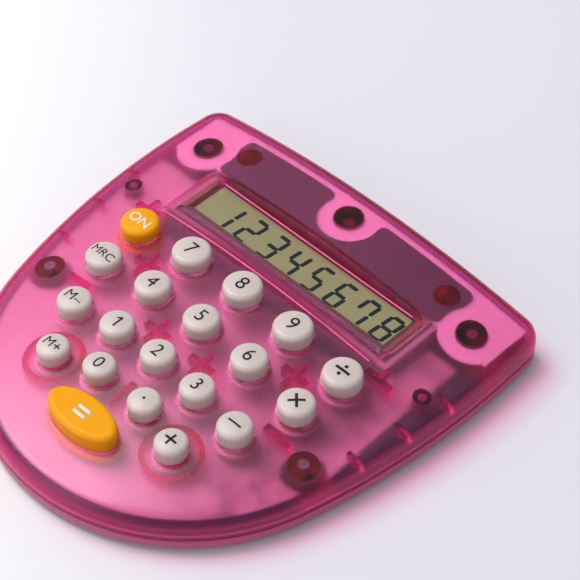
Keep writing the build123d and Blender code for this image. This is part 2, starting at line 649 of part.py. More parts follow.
def make_round_key(x, y, radius):
    """Round key: crowned cap with a soft edge, a flange under the shell and a stem on the dome."""
    flange = radius + KEY_FLANGE_WIDTH
    top, flange_top, flange_low = key_heights(x, y, flange, flange)
    edge_z = top - KEY_CROWN
    side_z = edge_z - KEY_EDGE_RADIUS
    inner = radius - KEY_EDGE_RADIUS
    bend = sqrt(0.5) * KEY_EDGE_RADIUS
    crown = (inner ** 2 + KEY_CROWN ** 2) / (2 * KEY_CROWN)
    middle = (inner / 2, top - crown + sqrt(crown ** 2 - inner ** 2 / 4))
    outline = [
        ThreePointArc((0, top), middle, (inner, edge_z)),
        ThreePointArc((inner, edge_z), (inner + bend, side_z + bend), (radius, side_z)),
        Polyline(
            (radius, side_z),
            (radius, flange_top),
            (flange, flange_top),
            (flange, flange_low),
            (KEY_STEM_RADIUS, flange_low),
            (KEY_STEM_RADIUS, DOME_TOP_Z),
            (0, DOME_TOP_Z),
            (0, top),
        ),
    ]
    section = Plane.XZ * make_face(outline)
    return Pos(x, y, 0) * revolve(section, Axis.Z)


def make_equals_key():
    """Wide oval equals key, with a stem on each of its two domes."""
    y = from_top(EQUALS_BELOW_TOP)
    reach_x = EQUALS_HALF_WIDTH + KEY_FLANGE_WIDTH
    reach_y = EQUALS_HALF_HEIGHT + KEY_FLANGE_WIDTH
    top, flange_top, flange_low = key_heights(0, y, reach_x, reach_y)
    cap = extrude(Pos(0, 0, flange_low) * equals_ellipse(0), top - flange_low)
    cap = fillet(cap.faces().sort_by(Axis.Z)[-1].edges(), KEY_EDGE_RADIUS)
    flange = extrude(Pos(0, 0, flange_low) * equals_ellipse(KEY_FLANGE_WIDTH), flange_top - flange_low)
    places = both_sides(EQUALS_DOME_OFFSET, y)
    stems = [disc(stem_x, stem_y, KEY_STEM_RADIUS, DOME_TOP_Z, flange_top) for stem_x, stem_y in places]
    return cap.fuse(flange, *stems)


def display_glass(low, high, lower_margin):
    """One layer of the display, as wide as the window and its margins."""
    half = WINDOW_WIDTH / 2 + GLASS_SIDE_MARGIN
    window_top = from_top(RECESS_TOP_BELOW_TOP)
    low_y = window_top - WINDOW_HEIGHT - lower_margin
    return block(-half, half, low_y, window_top + GLASS_TOP_MARGIN, low, high)


def display_layers():
    """Polarizer, two glass plates and reflector, with the front plate's contact ledge left free."""
    polarizer_low = LCD_FRONT_Z - POLARIZER_THICKNESS
    front_low = polarizer_low - GLASS_THICKNESS
    rear_low = front_low - GLASS_THICKNESS
    lower = GLASS_CONTACT_MARGIN - GLASS_LEDGE
    return {
        "lcd_polarizer": display_glass(polarizer_low, LCD_FRONT_Z, lower),
        "lcd_front_glass": display_glass(front_low, polarizer_low, GLASS_CONTACT_MARGIN),
        "lcd_rear_glass": display_glass(rear_low, front_low, lower),
        "lcd_reflector": display_glass(rear_low - REFLECTOR_THICKNESS, rear_low, lower),
    }


def make_zebra():
    """Rubber connector strip from the board to the front plate's ledge."""
    half = WINDOW_WIDTH / 2
    low_y = from_top(RECESS_TOP_BELOW_TOP) - WINDOW_HEIGHT - GLASS_CONTACT_MARGIN + ZEBRA_CLEARANCE
    high = LCD_FRONT_Z - POLARIZER_THICKNESS - GLASS_THICKNESS
    return block(-half, half, low_y, low_y + ZEBRA_WIDTH, BOARD_TOP_Z, high)


def holder_half_width():
    """Half the width of the display's seat in its holder."""
    return WINDOW_WIDTH / 2 + GLASS_SIDE_MARGIN + HOLDER_CLEARANCE


def holder_top_y():
    """Upper edge of the display holder."""
    return from_top(RECESS_TOP_BELOW_TOP) + GLASS_TOP_MARGIN + HOLDER_CLEARANCE + HOLDER_WALL


def make_holder():
    """Frame on the board that carries the display and keeps it from sliding."""
    seat = LCD_FRONT_Z - POLARIZER_THICKNESS - 2 * GLASS_THICKNESS - REFLECTOR_THICKNESS
    half = holder_half_width()
    top = holder_top_y() - HOLDER_WALL
    low = from_top(RECESS_TOP_BELOW_TOP) - WINDOW_HEIGHT - GLASS_CONTACT_MARGIN - HOLDER_CLEARANCE
    rim = seat + HOLDER_RIM
    wall = HOLDER_WALL
    frame = block(-half - wall, half + wall, low - wall, top + wall, BOARD_TOP_Z, rim)
    frame = frame - block(-half, half, low, top, seat, rim)
    inner = half - HOLDER_LEDGE
    return frame - block(-inner, inner, low, top - HOLDER_LEDGE, BOARD_TOP_Z, rim)


def make_blob():
    """Round resin blob over the chip, under the display."""
    crown = (BLOB_RADIUS ** 2 + BLOB_HEIGHT ** 2) / (2 * BLOB_HEIGHT)
    y = blob_y()
    ball = Pos(0, y, BOARD_TOP_Z + BLOB_HEIGHT - crown) * Sphere(crown)
    return ball & disc(0, y, BLOB_RADIUS + OVERCUT, BOARD_TOP_Z, BOARD_TOP_Z + BLOB_HEIGHT + OVERCUT)


def blob_y():
    """The blob lies under the middle of the window."""
    return from_top(RECESS_TOP_BELOW_TOP) - WINDOW_HEIGHT / 2


def make_components():
    """Small surface-mounted components in a row beside the blob."""
    parts = []
    for place in range(CHIP_COUNT):
        x = CHIP_X + place * CHIP_PITCH
        y = blob_y()
        part = block(x, x + CHIP_LENGTH, y, y + CHIP_WIDTH, BOARD_TOP_Z, BOARD_TOP_Z + CHIP_HEIGHT)
        parts.append(part)
    return Compound(children=parts)


def make_cell():
    """Button cell with its narrower step on top."""
    y = from_top(CELL_BELOW_TOP)
    can = disc(0, y, CELL_RADIUS, CELL_BOTTOM_Z, CELL_TOP_Z - CELL_STEP_HEIGHT)
    return can + disc(0, y, CELL_STEP_RADIUS, CELL_TOP_Z - CELL_STEP_HEIGHT, CELL_TOP_Z)


def make_spring_contact():
    """Flat contact between the cell and the board."""
    y = from_top(CELL_BELOW_TOP)
    half = CONTACT_WIDTH / 2
    strip = block(-CONTACT_LENGTH / 2, CONTACT_LENGTH / 2, y - half, y + half, CELL_TOP_Z, BOARD_BOTTOM_Z)
    corners = strip.edges().filter_by(Axis.Z)
    return fillet(corners, CONTACT_CORNER_RADIUS)


def make_clip_contact():
    """Sprung clip on the board that holds the cell by its rim."""
    inner = CELL_RADIUS + CLIP_CLEARANCE
    outer = inner + CONTACT_THICKNESS
    low = BOARD_BOTTOM_Z - CLIP_HEIGHT
    ring = disc(0, 0, outer, low, BOARD_BOTTOM_Z) - disc(0, 0, inner, low, BOARD_BOTTOM_Z)
    gap = wedge(outer, low, BOARD_BOTTOM_Z, 360 - CLIP_ANGLE)
    return Pos(0, from_top(CELL_BELOW_TOP)) * (ring - gap)


def make_cap():
    """Round battery cap with a coin slot, a cup for the cell and two bayonet lugs."""
    low = BACK_Z + CAP_RECESS
    plate = disc(0, 0, CAP_RADIUS, low, CAP_TOP_Z)
    lug_low = FLOOR_Z + CAP_LUG_CLEARANCE
    lug_high = lug_low + CAP_LUG_HEIGHT
    cup_inner = CELL_RADIUS + CELL_CLEARANCE
    cup = disc(0, 0, cup_inner + CAP_CUP_WALL, CAP_TOP_Z, CAP_TOP_Z + CAP_CUP_HEIGHT)
    cup = cup - disc(0, 0, cup_inner, CAP_TOP_Z, CAP_TOP_Z + CAP_CUP_HEIGHT)
    skirt = ring_pair(cup_inner, CAP_RADIUS, CAP_TOP_Z, lug_high, CAP_LUG_ANGLE)
    lugs = ring_pair(cup_inner, CAP_RADIUS + CAP_LUG_REACH, lug_low, lug_high, CAP_LUG_ANGLE)
    slot_x = COIN_SLOT_LENGTH / 2
    slot_y = COIN_SLOT_WIDTH / 2
    slot = block(-slot_x, slot_x, -slot_y, slot_y, low, low + COIN_SLOT_DEPTH)
    return Pos(0, from_top(CELL_BELOW_TOP)) * (plate.fuse(cup, skirt, lugs) - slot)


def make_screw(x, y, head_low, head_radius, head_height, radius, length):
    """Screw with a slotted head below and its shank upwards."""
    head_top = head_low + head_height
    head = disc(x, y, head_radius, head_low, head_top)
    slot = block(x - head_radius, x + head_radius, y - SCREW_SLOT / 2, y + SCREW_SLOT / 2,
                 head_low, head_low + head_height / 2)
    return (head - slot) + disc(x, y, radius, head_top, head_top + length)


def make_case_screws():
    """Screws that close the case from the back."""
    low = screw_base_z() - SCREW_HEAD_HEIGHT
    sizes = (SCREW_HEAD_RADIUS, SCREW_HEAD_HEIGHT, SCREW_RADIUS, SCREW_LENGTH)
    return Compound(children=[make_screw(x, y, low, *sizes) for x, y in case_bosses()])


def make_board_screws():
    """Screws that hold the board to its posts, heads under the board."""
    low = BOARD_BOTTOM_Z - BOARD_SCREW_HEAD_HEIGHT
    sizes = (BOARD_SCREW_HEAD_RADIUS, BOARD_SCREW_HEAD_HEIGHT, BOARD_SCREW_RADIUS, BOARD_SCREW_LENGTH)
    return Compound(children=[make_screw(x, y, low, *sizes) for x, y in board_posts()])


def all_parts():
    """Every piece of the calculator by name."""
    parts = {
        "top_shell": make_top_shell(),
        "back_shell": make_back_shell(),
        "circuit_board": make_board(),
        "rubber_keypad": make_keypad(),
        "display_shade": make_shade(),
        "lcd_holder": make_holder(),
        "zebra_connector": make_zebra(),
        "chip_blob": make_blob(),
        "board_components": make_components(),
        "button_cell": make_cell(),
        "battery_spring_contact": make_spring_contact(),
        "battery_clip_contact": make_clip_contact(),
        "battery_cap": make_cap(),
        "case_screws": make_case_screws(),
        "board_screws": make_board_screws(),
        "rubber_feet": make_feet(),
        "key_equals": make_equals_key(),
    }
    parts.update(display_layers())
    for name, x, y, radius in key_table():
        parts["key_" + name] = make_round_key(x, y, radius)
    return parts


os.makedirs("parts", exist_ok=True)
for part_name, solid in all_parts().items():
    export_step(solid, os.path.join("parts", part_name + ".step"))
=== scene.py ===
from math import radians

import bpy
from mathutils import Matrix, Vector


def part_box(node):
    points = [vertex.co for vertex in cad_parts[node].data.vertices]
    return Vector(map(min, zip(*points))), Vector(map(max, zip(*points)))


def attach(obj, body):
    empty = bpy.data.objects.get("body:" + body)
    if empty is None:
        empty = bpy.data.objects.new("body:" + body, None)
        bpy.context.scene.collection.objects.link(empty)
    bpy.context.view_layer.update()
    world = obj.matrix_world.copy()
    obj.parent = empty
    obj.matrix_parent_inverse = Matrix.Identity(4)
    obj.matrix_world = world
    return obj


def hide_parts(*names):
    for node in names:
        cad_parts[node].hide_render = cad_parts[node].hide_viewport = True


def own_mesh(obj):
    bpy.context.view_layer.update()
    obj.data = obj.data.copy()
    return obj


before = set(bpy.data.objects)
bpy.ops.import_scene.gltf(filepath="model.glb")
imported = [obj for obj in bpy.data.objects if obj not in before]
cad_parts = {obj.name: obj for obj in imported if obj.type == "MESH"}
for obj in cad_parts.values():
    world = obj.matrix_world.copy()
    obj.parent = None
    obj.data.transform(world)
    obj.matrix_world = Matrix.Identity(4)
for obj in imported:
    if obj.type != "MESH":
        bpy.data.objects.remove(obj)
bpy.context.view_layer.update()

bl_info = {
    "name": "Desk calculator finish",
    "version": (1, 0, 0),
    "blender": (4, 5, 0),
    "location": "View3D > Sidebar > Calculator",
    "description": "Gives the solids of a desk calculator their finish, legends, display and stage",
    "category": "Object",
}

MM = 0.001
CASE = "case"
KEYPAD = "rubber_keypad"
TOP_SHELL = "top_shell"
PLASTIC_IOR = 1.49
GLASS_IOR = 1.52
SOLID_MERGE = 0.0005 * MM
DRAWN_MERGE = 0.001 * MM
SMOOTH_ANGLE = radians(30)
BEAD_ANGLE = radians(40)

# Legend of each key, and its height as a share of the key's width
LEGENDS = {
    "key_on": ("ON", 0.35), "key_7": ("7", 0.48), "key_8": ("8", 0.48), "key_9": ("9", 0.48),
    "key_divide": ("÷", 0.78), "key_mrc": ("MRC", 0.31), "key_4": ("4", 0.48), "key_5": ("5", 0.48),
    "key_6": ("6", 0.48), "key_multiply": ("×", 0.74), "key_memory_minus": ("M–", 0.38),
    "key_1": ("1", 0.48), "key_2": ("2", 0.48), "key_3": ("3", 0.48), "key_minus": ("–", 0.74),
    "key_memory_plus": ("M+", 0.38), "key_0": ("0", 0.48), "key_point": (".", 0.60),
    "key_plus": ("+", 0.74), "key_equals": ("=", 0.68),
}
YELLOW_KEYS = ("key_on", "key_equals")

# Flag of the digit one: its reach in digit heights, its fall in reaches and its stroke in bar widths
FLAG_REACH = 0.24
FLAG_FALL = 0.8
FLAG_STROKE = 1.25

# Bars of a seven bar digit: places in half widths and half heights, and whether the bar lies flat
BARS = {
    "a": (0, 1, True), "b": (1, 0.5, False), "c": (1, -0.5, False), "d": (0, -1, True),
    "e": (-1, -0.5, False), "f": (-1, 0.5, False), "g": (0, 0, True),
}
LIT_BARS = {
    "1": "bc", "2": "abged", "3": "abgcd", "4": "fgbc",
    "5": "afgcd", "6": "afgecd", "7": "fabc", "8": "abcdefg",
}

# Sockets of the grain that all finishes share, its two noises and the mottle's limits
GRAIN_SOCKETS = (
    ("Vector", "INPUT", "Vector"),
    ("Grain Scale", "INPUT", "Float"),
    ("Mottle Scale", "INPUT", "Float"),
    ("Rough Low", "INPUT", "Float"),
    ("Rough High", "INPUT", "Float"),
    ("Light", "INPUT", "Color"),
    ("Dark", "INPUT", "Color"),
    ("Color", "OUTPUT", "Color"),
    ("Roughness", "OUTPUT", "Float"),
    ("Height", "OUTPUT", "Float"),
)
GRAIN_DETAIL = 3.0
MOTTLE_DETAIL = 4.0
MOTTLE_LOW = 0.3
MOTTLE_HIGH = 0.7

# Softness of the display recess's border in the tint of the ribs, as a share of its half size
RECESS_FADE = 0.03


class CalculatorColours(bpy.types.PropertyGroup):
    """Colours of the finishes, and how deep the clear plastic is tinted."""
    case_tint: bpy.props.FloatVectorProperty(
        name="Case tint", description="Light that the clear plastic lets through in depth",
        subtype="COLOR", min=0, max=1, default=(0.958, 0.009, 0.56))
    case_density: bpy.props.FloatProperty(
        name="Case density",
        description="Strength of the tint in depth, for each metre of clear plastic",
        min=0, default=400.0)
    case_skin: bpy.props.FloatVectorProperty(
        name="Case skin", description="Tint that the surface of the clear plastic adds",
        subtype="COLOR", min=0, max=1, default=(0.98, 0.94, 0.97))
    case_deep: bpy.props.FloatVectorProperty(
        name="Case ribs", description="Tint of the ribs, posts and bosses under the face",
        subtype="COLOR", min=0, max=1, default=(0.82, 0.03, 0.56))
    case_glow: bpy.props.FloatVectorProperty(
        name="Case glow",
        description="Lamp light that one surface of the clear plastic lets into the case",
        subtype="COLOR", min=0, max=1, default=(0.845, 0.85, 0.855))
    # Painted highlight: opaque bright pink on the rounded lips, standing for the light that their edges
    # catch.
    lip_painted_highlight: bpy.props.FloatVectorProperty(
        name="Recess lips", description="Bright pink of the rounded lips of the display recess",
        subtype="COLOR", min=0, max=1, default=(0.96, 0.085, 0.34))
    back_milk: bpy.props.FloatVectorProperty(
        name="Back shell", description="Milky plastic of the back shell and the battery cap",
        subtype="COLOR", min=0, max=1, default=(0.66, 0.12, 0.28))
    key_white: bpy.props.FloatVectorProperty(
        name="White keys", description="Plastic of most keys",
        subtype="COLOR", min=0, max=1, default=(0.70, 0.60, 0.57))
    key_yellow: bpy.props.FloatVectorProperty(
        name="Yellow keys", description="Plastic of the ON and equals keys",
        subtype="COLOR", min=0, max=1, default=(0.98, 0.40, 0.003))
    ink_black: bpy.props.FloatVectorProperty(
        name="Black legends", description="Print on the white keys",
        subtype="COLOR", min=0, max=1, default=(0.012, 0.011, 0.012))
    ink_white: bpy.props.FloatVectorProperty(
        name="White legends", description="Print on the yellow keys",
        subtype="COLOR", min=0, max=1, default=(0.86, 0.84, 0.80))
    display_film: bpy.props.FloatVectorProperty(
        name="Display film", description="Unlit ground of the liquid crystal display",
        subtype="COLOR", min=0, max=1, default=(0.34, 0.31, 0.16))
    display_digit: bpy.props.FloatVectorProperty(
        name="Display digits", description="Lit bars of the liquid crystal display",
        subtype="COLOR", min=0, max=1, default=(0.008, 0.022, 0.022))
    board_mask: bpy.props.FloatVectorProperty(
        name="Board", description="Lacquer of the circuit board",
        subtype="COLOR", min=0, max=1, default=(0.028, 0.046, 0.048))
    keypad_rubber: bpy.props.FloatVectorProperty(
        name="Keypad rubber", description="Silicone rubber sheet under the keys",
        subtype="COLOR", min=0, max=1, default=(0.74, 0.66, 0.64))
    # Painted shade: the darker colour that the sheet fades to on its right, where the case lies in shadow.
    keypad_painted_shade: bpy.props.FloatVectorProperty(
        name="Keypad edge", description="Darker rubber along the right edge of the sheet",
        subtype="COLOR", min=0, max=1, default=(0.21, 0.12, 0.13))
    floor_near: bpy.props.FloatVectorProperty(
        name="Floor, bright side", description="Floor on the left of the picture",
        subtype="COLOR", min=0, max=1, default=(1.0, 1.0, 1.0))
    # Painted shade: the floor's colour on the right, darker where less light falls on the floor.
    floor_painted_shade: bpy.props.FloatVectorProperty(
        name="Floor, dim side", description="Floor on the right of the picture",
        subtype="COLOR", min=0, max=1, default=(0.825, 0.818, 0.885))


class CalculatorSizes(bpy.types.PropertyGroup):
    """Sizes of the pieces that are added to the solids."""
    ink_thickness: bpy.props.FloatProperty(
        name="Ink thickness", description="Thickness of a printed legend",
        unit="LENGTH", min=0, default=0.03 * MM)
    ink_weight: bpy.props.FloatProperty(
        name="Legend weight",
        description="How far the letters on the yellow keys are swollen, as a share of their size",
        min=0, max=0.1, default=0.012)
    digit_width: bpy.props.FloatProperty(
        name="Digit width", description="Between the middle lines of a display digit's upright bars",
        unit="LENGTH", min=0, default=2.95 * MM)
    digit_height: bpy.props.FloatProperty(
        name="Digit height",
        description="Between the middle lines of a display digit's top and bottom bars",
        unit="LENGTH", min=0, default=6.8 * MM)
    digit_pitch: bpy.props.FloatProperty(
        name="Digit pitch", description="From one display digit to the next",
        unit="LENGTH", min=0, default=6.26 * MM)
    digit_bar: bpy.props.FloatProperty(
        name="Digit bar", description="Width of a bar of a display digit",
        unit="LENGTH", min=0, default=0.92 * MM)
    digit_gap: bpy.props.FloatProperty(
        name="Digit gap", description="Gap between two bars of a display digit",
        unit="LENGTH", min=0, default=0.24 * MM)
    digit_slant: bpy.props.FloatProperty(
        name="Digit slant", description="Sideways lean of the display digits for each unit of height",
        min=0, max=1, default=0.095)
    last_digit: bpy.props.FloatProperty(
        name="Last digit", description="From the display's middle line to the middle of its last digit",
        unit="LENGTH", default=24.0 * MM)
    digit_rise: bpy.props.FloatProperty(
        name="Digit rise", description="From the film's lower edge to the middle of the digits",
        unit="LENGTH", default=4.75 * MM)
    dome_height: bpy.props.FloatProperty(
        name="Dome height", description="Height of a rubber dome over its sheet",
        unit="LENGTH", min=0, default=0.9 * MM)
    dome_base: bpy.props.FloatProperty(
        name="Dome base", description="Radius of a rubber dome at its sheet",
        unit="LENGTH", min=0, default=2.9 * MM)
    dome_top: bpy.props.FloatProperty(
        name="Dome top", description="Radius of a rubber dome at its top",
        unit="LENGTH", min=0, default=2.0 * MM)
    dome_wall: bpy.props.FloatProperty(
        name="Dome wall", description="Thickness of the rubber of a dome",
        unit="LENGTH", min=0, default=0.5 * MM)
    equals_domes: bpy.props.FloatProperty(
        name="Domes of the equals key",
        description="From the middle of the equals key to each of its two domes",
        unit="LENGTH", min=0, default=4.5 * MM)
    backing_thickness: bpy.props.FloatProperty(
        name="Backing thickness", description="Thickness of the pale film under the shade plate",
        unit="LENGTH", min=0, default=0.2 * MM)
    backing_drop: bpy.props.FloatProperty(
        name="Backing drop",
        description="From the shade plate's upper face down to the pale film's lower face",
        unit="LENGTH", min=0, default=0.78 * MM)
    backing_reach: bpy.props.FloatProperty(
        name="Backing reach", description="Radius of the pale film round a corner boss of the case",
        unit="LENGTH", min=0, default=6.7 * MM)
    backing_side: bpy.props.FloatProperty(
        name="Backing side", description="From the shade plate's end to the pale film's side",
        unit="LENGTH", min=0, default=11.9 * MM)
    backing_top: bpy.props.FloatProperty(
        name="Backing top",
        description="From the shade plate's upper edge to the pale film's upper edge",
        unit="LENGTH", min=0, default=1.7 * MM)
    boss_hole: bpy.props.FloatProperty(
        name="Boss hole", description="Radius of the pale film's hole round a boss of the case",
        unit="LENGTH", min=0, default=3.3 * MM)
    post_hole: bpy.props.FloatProperty(
        name="Post hole", description="Radius of the pale film's hole round a post of the shade plate",
        unit="LENGTH", min=0, default=2.8 * MM)
    post_inset: bpy.props.FloatProperty(
        name="Post inset", description="From the shade plate's end to the middle of its post",
        unit="LENGTH", min=0, default=3.6 * MM)
    post_rise: bpy.props.FloatProperty(
        name="Post rise", description="From the shade plate's lower edge to the middle of its posts",
        unit="LENGTH", min=0, default=6.6 * MM)
    film_lift: bpy.props.FloatProperty(
        name="Digit lift", description="How far the digits stand over the film and reach into it",
        unit="LENGTH", min=0, default=0.01 * MM)
    lip_radius: bpy.props.FloatProperty(
        name="Lip radius", description="Rounding of the display recess's lips",
        unit="LENGTH", min=0, default=0.24 * MM)
    lip_sink: bpy.props.FloatProperty(
        name="Lip sink",
        description="Depth of the lower lip's middle under the face, as a share of its radius",
        min=0, max=1, default=0.75)
    lip_half: bpy.props.FloatVectorProperty(
        name="Lip half lengths",
        description="From the middle line of the case to the ends of the upper and the lower lip",
        size=2, unit="LENGTH", min=0, default=(26.2 * MM, 28.6 * MM))
    lip_upper: bpy.props.FloatProperty(
        name="Upper lip",
        description="From the middle of the case to the lip at the foot of the recess's upper wall",
        unit="LENGTH", default=29.78 * MM)
    lip_rise: bpy.props.FloatProperty(
        name="Lip rise", description="Height of the upper lip's middle over the display film",
        unit="LENGTH", default=0.95 * MM)
    lip_lower: bpy.props.FloatProperty(
        name="Lower lip",
        description="From the middle of the case to the ridge of the display's lower ramp",
        unit="LENGTH", default=14.7 * MM)
    face_round: bpy.props.FloatVectorProperty(
        name="Face rounding", description="Radii of the face across and along the case",
        size=2, unit="LENGTH", min=0, default=(250 * MM, 610 * MM))
    face_peak: bpy.props.FloatProperty(
        name="Face peak", description="From the middle of the case to the highest line of its face",
        unit="LENGTH", default=31.4 * MM)
    face_skin: bpy.props.FloatProperty(
        name="Face thickness", description="Depth under the face at which the ribs begin to show",
        unit="LENGTH", min=0, default=1.9 * MM)
    face_fade: bpy.props.FloatProperty(
        name="Rib fade", description="Depth over which the tint of the ribs comes in",
        unit="LENGTH", min=0, default=0.2 * MM)
    frost_depth: bpy.props.FloatVectorProperty(
        name="Frost depths",
        description="Depths under the face at which the frosting begins and ends to grow",
        size=2, unit="LENGTH", min=0, default=(0.4 * MM, 1.4 * MM))
    frost_share: bpy.props.FloatVectorProperty(
        name="Frost shares",
        description="Roughness on the face and in depth, as shares of the grain's own",
        size=2, min=0, default=(0.75, 1.2))
    recess_middle: bpy.props.FloatProperty(
        name="Recess middle",
        description="From the middle of the case to the middle of the display recess's ramps",
        unit="LENGTH", default=22.0 * MM)
    recess_half: bpy.props.FloatVectorProperty(
        name="Recess ramps",
        description="Half width and half height of the display recess below its upper wall",
        size=2, unit="LENGTH", min=0, default=(34.5 * MM, 7.2 * MM))
    # Where the painted shade on the keypad sheet begins and ends across the case.
    keypad_shade_fade: bpy.props.FloatVectorProperty(
        name="Keypad fade",
        description="From the middle line of the case to where the darker edge begins and ends",
        size=2, unit="LENGTH", default=(8 * MM, 33 * MM))
    track_pitch: bpy.props.FloatProperty(
        name="Track pitch", description="From one row of copper tracks on the board to the next",
        unit="LENGTH", min=0, default=3.2 * MM)
    strip_pitch: bpy.props.FloatProperty(
        name="Strip pitch", description="Pitch of the connector strip's layers",
        unit="LENGTH", min=0, default=3.0 * MM)


class CalculatorStage(bpy.types.PropertyGroup):
    """Camera, lamps and floor."""
    camera_place: bpy.props.FloatVectorProperty(
        name="Camera", description="Where the camera stands",
        subtype="TRANSLATION", unit="LENGTH", default=(0.19522, -0.17550, 0.30930))
    camera_aim: bpy.props.FloatVectorProperty(
        name="Aim", description="Point in the middle of the picture",
        subtype="TRANSLATION", unit="LENGTH", default=(0.00598, 0.01612, 0.0132))
    camera_lens: bpy.props.FloatProperty(
        name="Lens", description="Focal length in millimetres on a sensor 36 mm wide",
        min=1, default=127.29)
    lamp_way: bpy.props.FloatVectorProperty(
        name="Lamp direction", description="From the object towards the soft lamp",
        subtype="DIRECTION", default=(-0.52, -0.13, 0.845))
    front_way: bpy.props.FloatVectorProperty(
        name="Front lamp direction", description="From the object towards the weak lamp in front of it",
        subtype="DIRECTION", default=(-0.25, -0.90, 0.35))
    lamp_distance: bpy.props.FloatProperty(
        name="Lamp distance", description="From the object to the soft lamp",
        unit="LENGTH", min=0, default=1.0)
    lamp_size: bpy.props.FloatProperty(
        name="Lamp size", description="Side of the soft lamp",
        unit="LENGTH", min=0, default=0.6)
    lamp_power: bpy.props.FloatProperty(
        name="Lamp power", description="Power of the soft lamp in watts", min=0, default=7.0)
    front_power: bpy.props.FloatProperty(
        name="Front lamp power", description="Power of the lamp in front of the object in watts",
        min=0, default=1.4)
    sky_strength: bpy.props.FloatProperty(
        name="Fill", description="Strength of the even light from all around", min=0, default=0.42)
    sky_tint: bpy.props.FloatVectorProperty(
        name="Fill tint", description="Colour of the even light",
        subtype="COLOR", min=0, max=1, default=(0.97, 0.98, 1.0))
    gloss_share: bpy.props.FloatProperty(
        name="Fill in reflections",
        description="Strength of the even light in reflections, as a share of the fill",
        min=0, default=0.8)
    gloss_tint: bpy.props.FloatVectorProperty(
        name="Fill tint in reflections", description="Colour of the even light in reflections",
        subtype="COLOR", min=0, max=1, default=(0.90, 0.93, 1.0))
    floor_reach: bpy.props.FloatProperty(
        name="Floor", description="Side of the floor", unit="LENGTH", min=0, default=4.0)
    # Where the floor's painted shade begins and ends across the picture.
    floor_shade_fade: bpy.props.FloatVectorProperty(
        name="Floor fade",
        description="Across the picture, from the object's middle to where the floor dims",
        size=2, unit="LENGTH", default=(-60 * MM, 5 * MM))
    floor_drop: bpy.props.FloatProperty(
        name="Floor drop", description="How far the floor lies under the feet",
        unit="LENGTH", min=0, default=0.02 * MM)


def deselect_all():
    """Leaves nothing selected, so that the next operator acts on its own piece alone."""
    bpy.ops.object.select_all(action="DESELECT")


def take_up(piece):
    """Makes one piece the only selected and active one."""
    deselect_all()
    piece.select_set(True)
    bpy.context.view_layer.objects.active = piece


def apply_place(piece):
    """Puts the piece's place, turn and scale into its mesh."""
    take_up(piece)
    bpy.ops.object.transform_apply(location=True, rotation=True, scale=True)


def apply_modifier(piece, modifier):
    """Applies one modifier to its piece."""
    take_up(piece)
    bpy.ops.object.modifier_apply(modifier=modifier.name)


def thicken(piece, thickness):
    """Gives a flat piece a thickness upwards."""
    solidify = piece.modifiers.new("thickness", "SOLIDIFY")
    solidify.thickness = thickness
    solidify.offset = 1.0
    apply_modifier(piece, solidify)


def lay_over(piece, node, lift=0.0):
    """Drops a flat piece straight down onto a solid of the frame."""
    wrap = piece.modifiers.new("wrap", "SHRINKWRAP")
    wrap.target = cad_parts[node]
    wrap.wrap_method = "PROJECT"
    wrap.use_project_z = True
    wrap.use_positive_direction = False
    wrap.use_negative_direction = True
    wrap.offset = lift
    apply_modifier(piece, wrap)


def combine(piece, tool, operation):
    """Joins, cuts or trims a piece by a tool, and removes the tool."""
    boolean = piece.modifiers.new("boolean", "BOOLEAN")
    boolean.operation = operation
    boolean.solver = "EXACT"
    boolean.object = tool
    apply_modifier(piece, boolean)
    bpy.data.objects.remove(tool)


def add_block(context, low, high):
    """Block between two corners."""
    deselect_all()
    low, high = Vector(low), Vector(high)
    bpy.ops.mesh.primitive_cube_add(size=1, location=(low + high) / 2, scale=high - low)
    return context.object


def middle_of(piece):
    """Middle of a piece's box in its own mesh."""
    return (Vector(piece.bound_box[0]) + Vector(piece.bound_box[6])) / 2


def copy_solid(context, node, name):
    """A copy of one solid of the frame with its points merged, to be worked on."""
    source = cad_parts[node]
    mesh = source.data.copy()
    mesh.transform(source.matrix_world)
    piece = bpy.data.objects.new(name, mesh)
    context.collection.objects.link(piece)
    take_up(piece)
    bpy.ops.mesh.customdata_custom_splitnormals_clear()
    bpy.ops.object.mode_set(mode="EDIT")
    bpy.ops.mesh.select_all(action="SELECT")
    bpy.ops.mesh.remove_doubles(threshold=SOLID_MERGE)
    bpy.ops.object.mode_set(mode="OBJECT")
    return piece


def dress(node, material):
    """Gives one solid of the frame its material."""
    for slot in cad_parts[node].material_slots:
        slot.material = material


def dress_piece(piece, material, body):
    """Gives an added piece its material and the body that carries it."""
    piece.data.materials.clear()
    piece.data.materials.append(material)
    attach(piece, body)


def opaque(colour):
    """Colour with full alpha, as a colour socket wants it."""
    return (colour[0], colour[1], colour[2], 1.0)


def shaded(colour, share):
    """Colour made darker, or lighter for a share above 1."""
    return tuple(min(1.0, part * share) for part in colour)


def vector_step(tree, operation, first, second=None):
    """Vector Math node on a socket, with a second socket or a plain vector."""
    step = tree.nodes.new("ShaderNodeVectorMath")
    step.operation = operation
    tree.links.new(first, step.inputs[0])
    if isinstance(second, bpy.types.NodeSocket):
        tree.links.new(second, step.inputs[1])
    elif second is not None:
        step.inputs[1].default_value = second
    return step.outputs


def number_step(tree, operation, first, second):
    """Math node on two sockets."""
    step = tree.nodes.new("ShaderNodeMath")
    step.operation = operation
    tree.links.new(first, step.inputs[0])
    tree.links.new(second, step.inputs[1])
    return step.outputs["Value"]


def split(tree, vector):
    """The three parts of a vector socket."""
    step = tree.nodes.new("ShaderNodeSeparateXYZ")
    tree.links.new(vector, step.inputs["Vector"])
    return step.outputs


def ramp(tree, value, start, end, results=(0.0, 1.0), eased=False):
    """Value that goes from one result to the other between a start and an end. Results may be sockets."""
    step = tree.nodes.new("ShaderNodeMapRange")
    if eased:
        step.interpolation_type = "SMOOTHSTEP"
    step.inputs["From Min"].default_value = start
    step.inputs["From Max"].default_value = end
    for socket, result in zip(("To Min", "To Max"), results):
        if isinstance(result, bpy.types.NodeSocket):
            tree.links.new(result, step.inputs[socket])
        else:
            step.inputs[socket].default_value = result
    tree.links.new(value, step.inputs["Value"])
    return step.outputs["Result"]


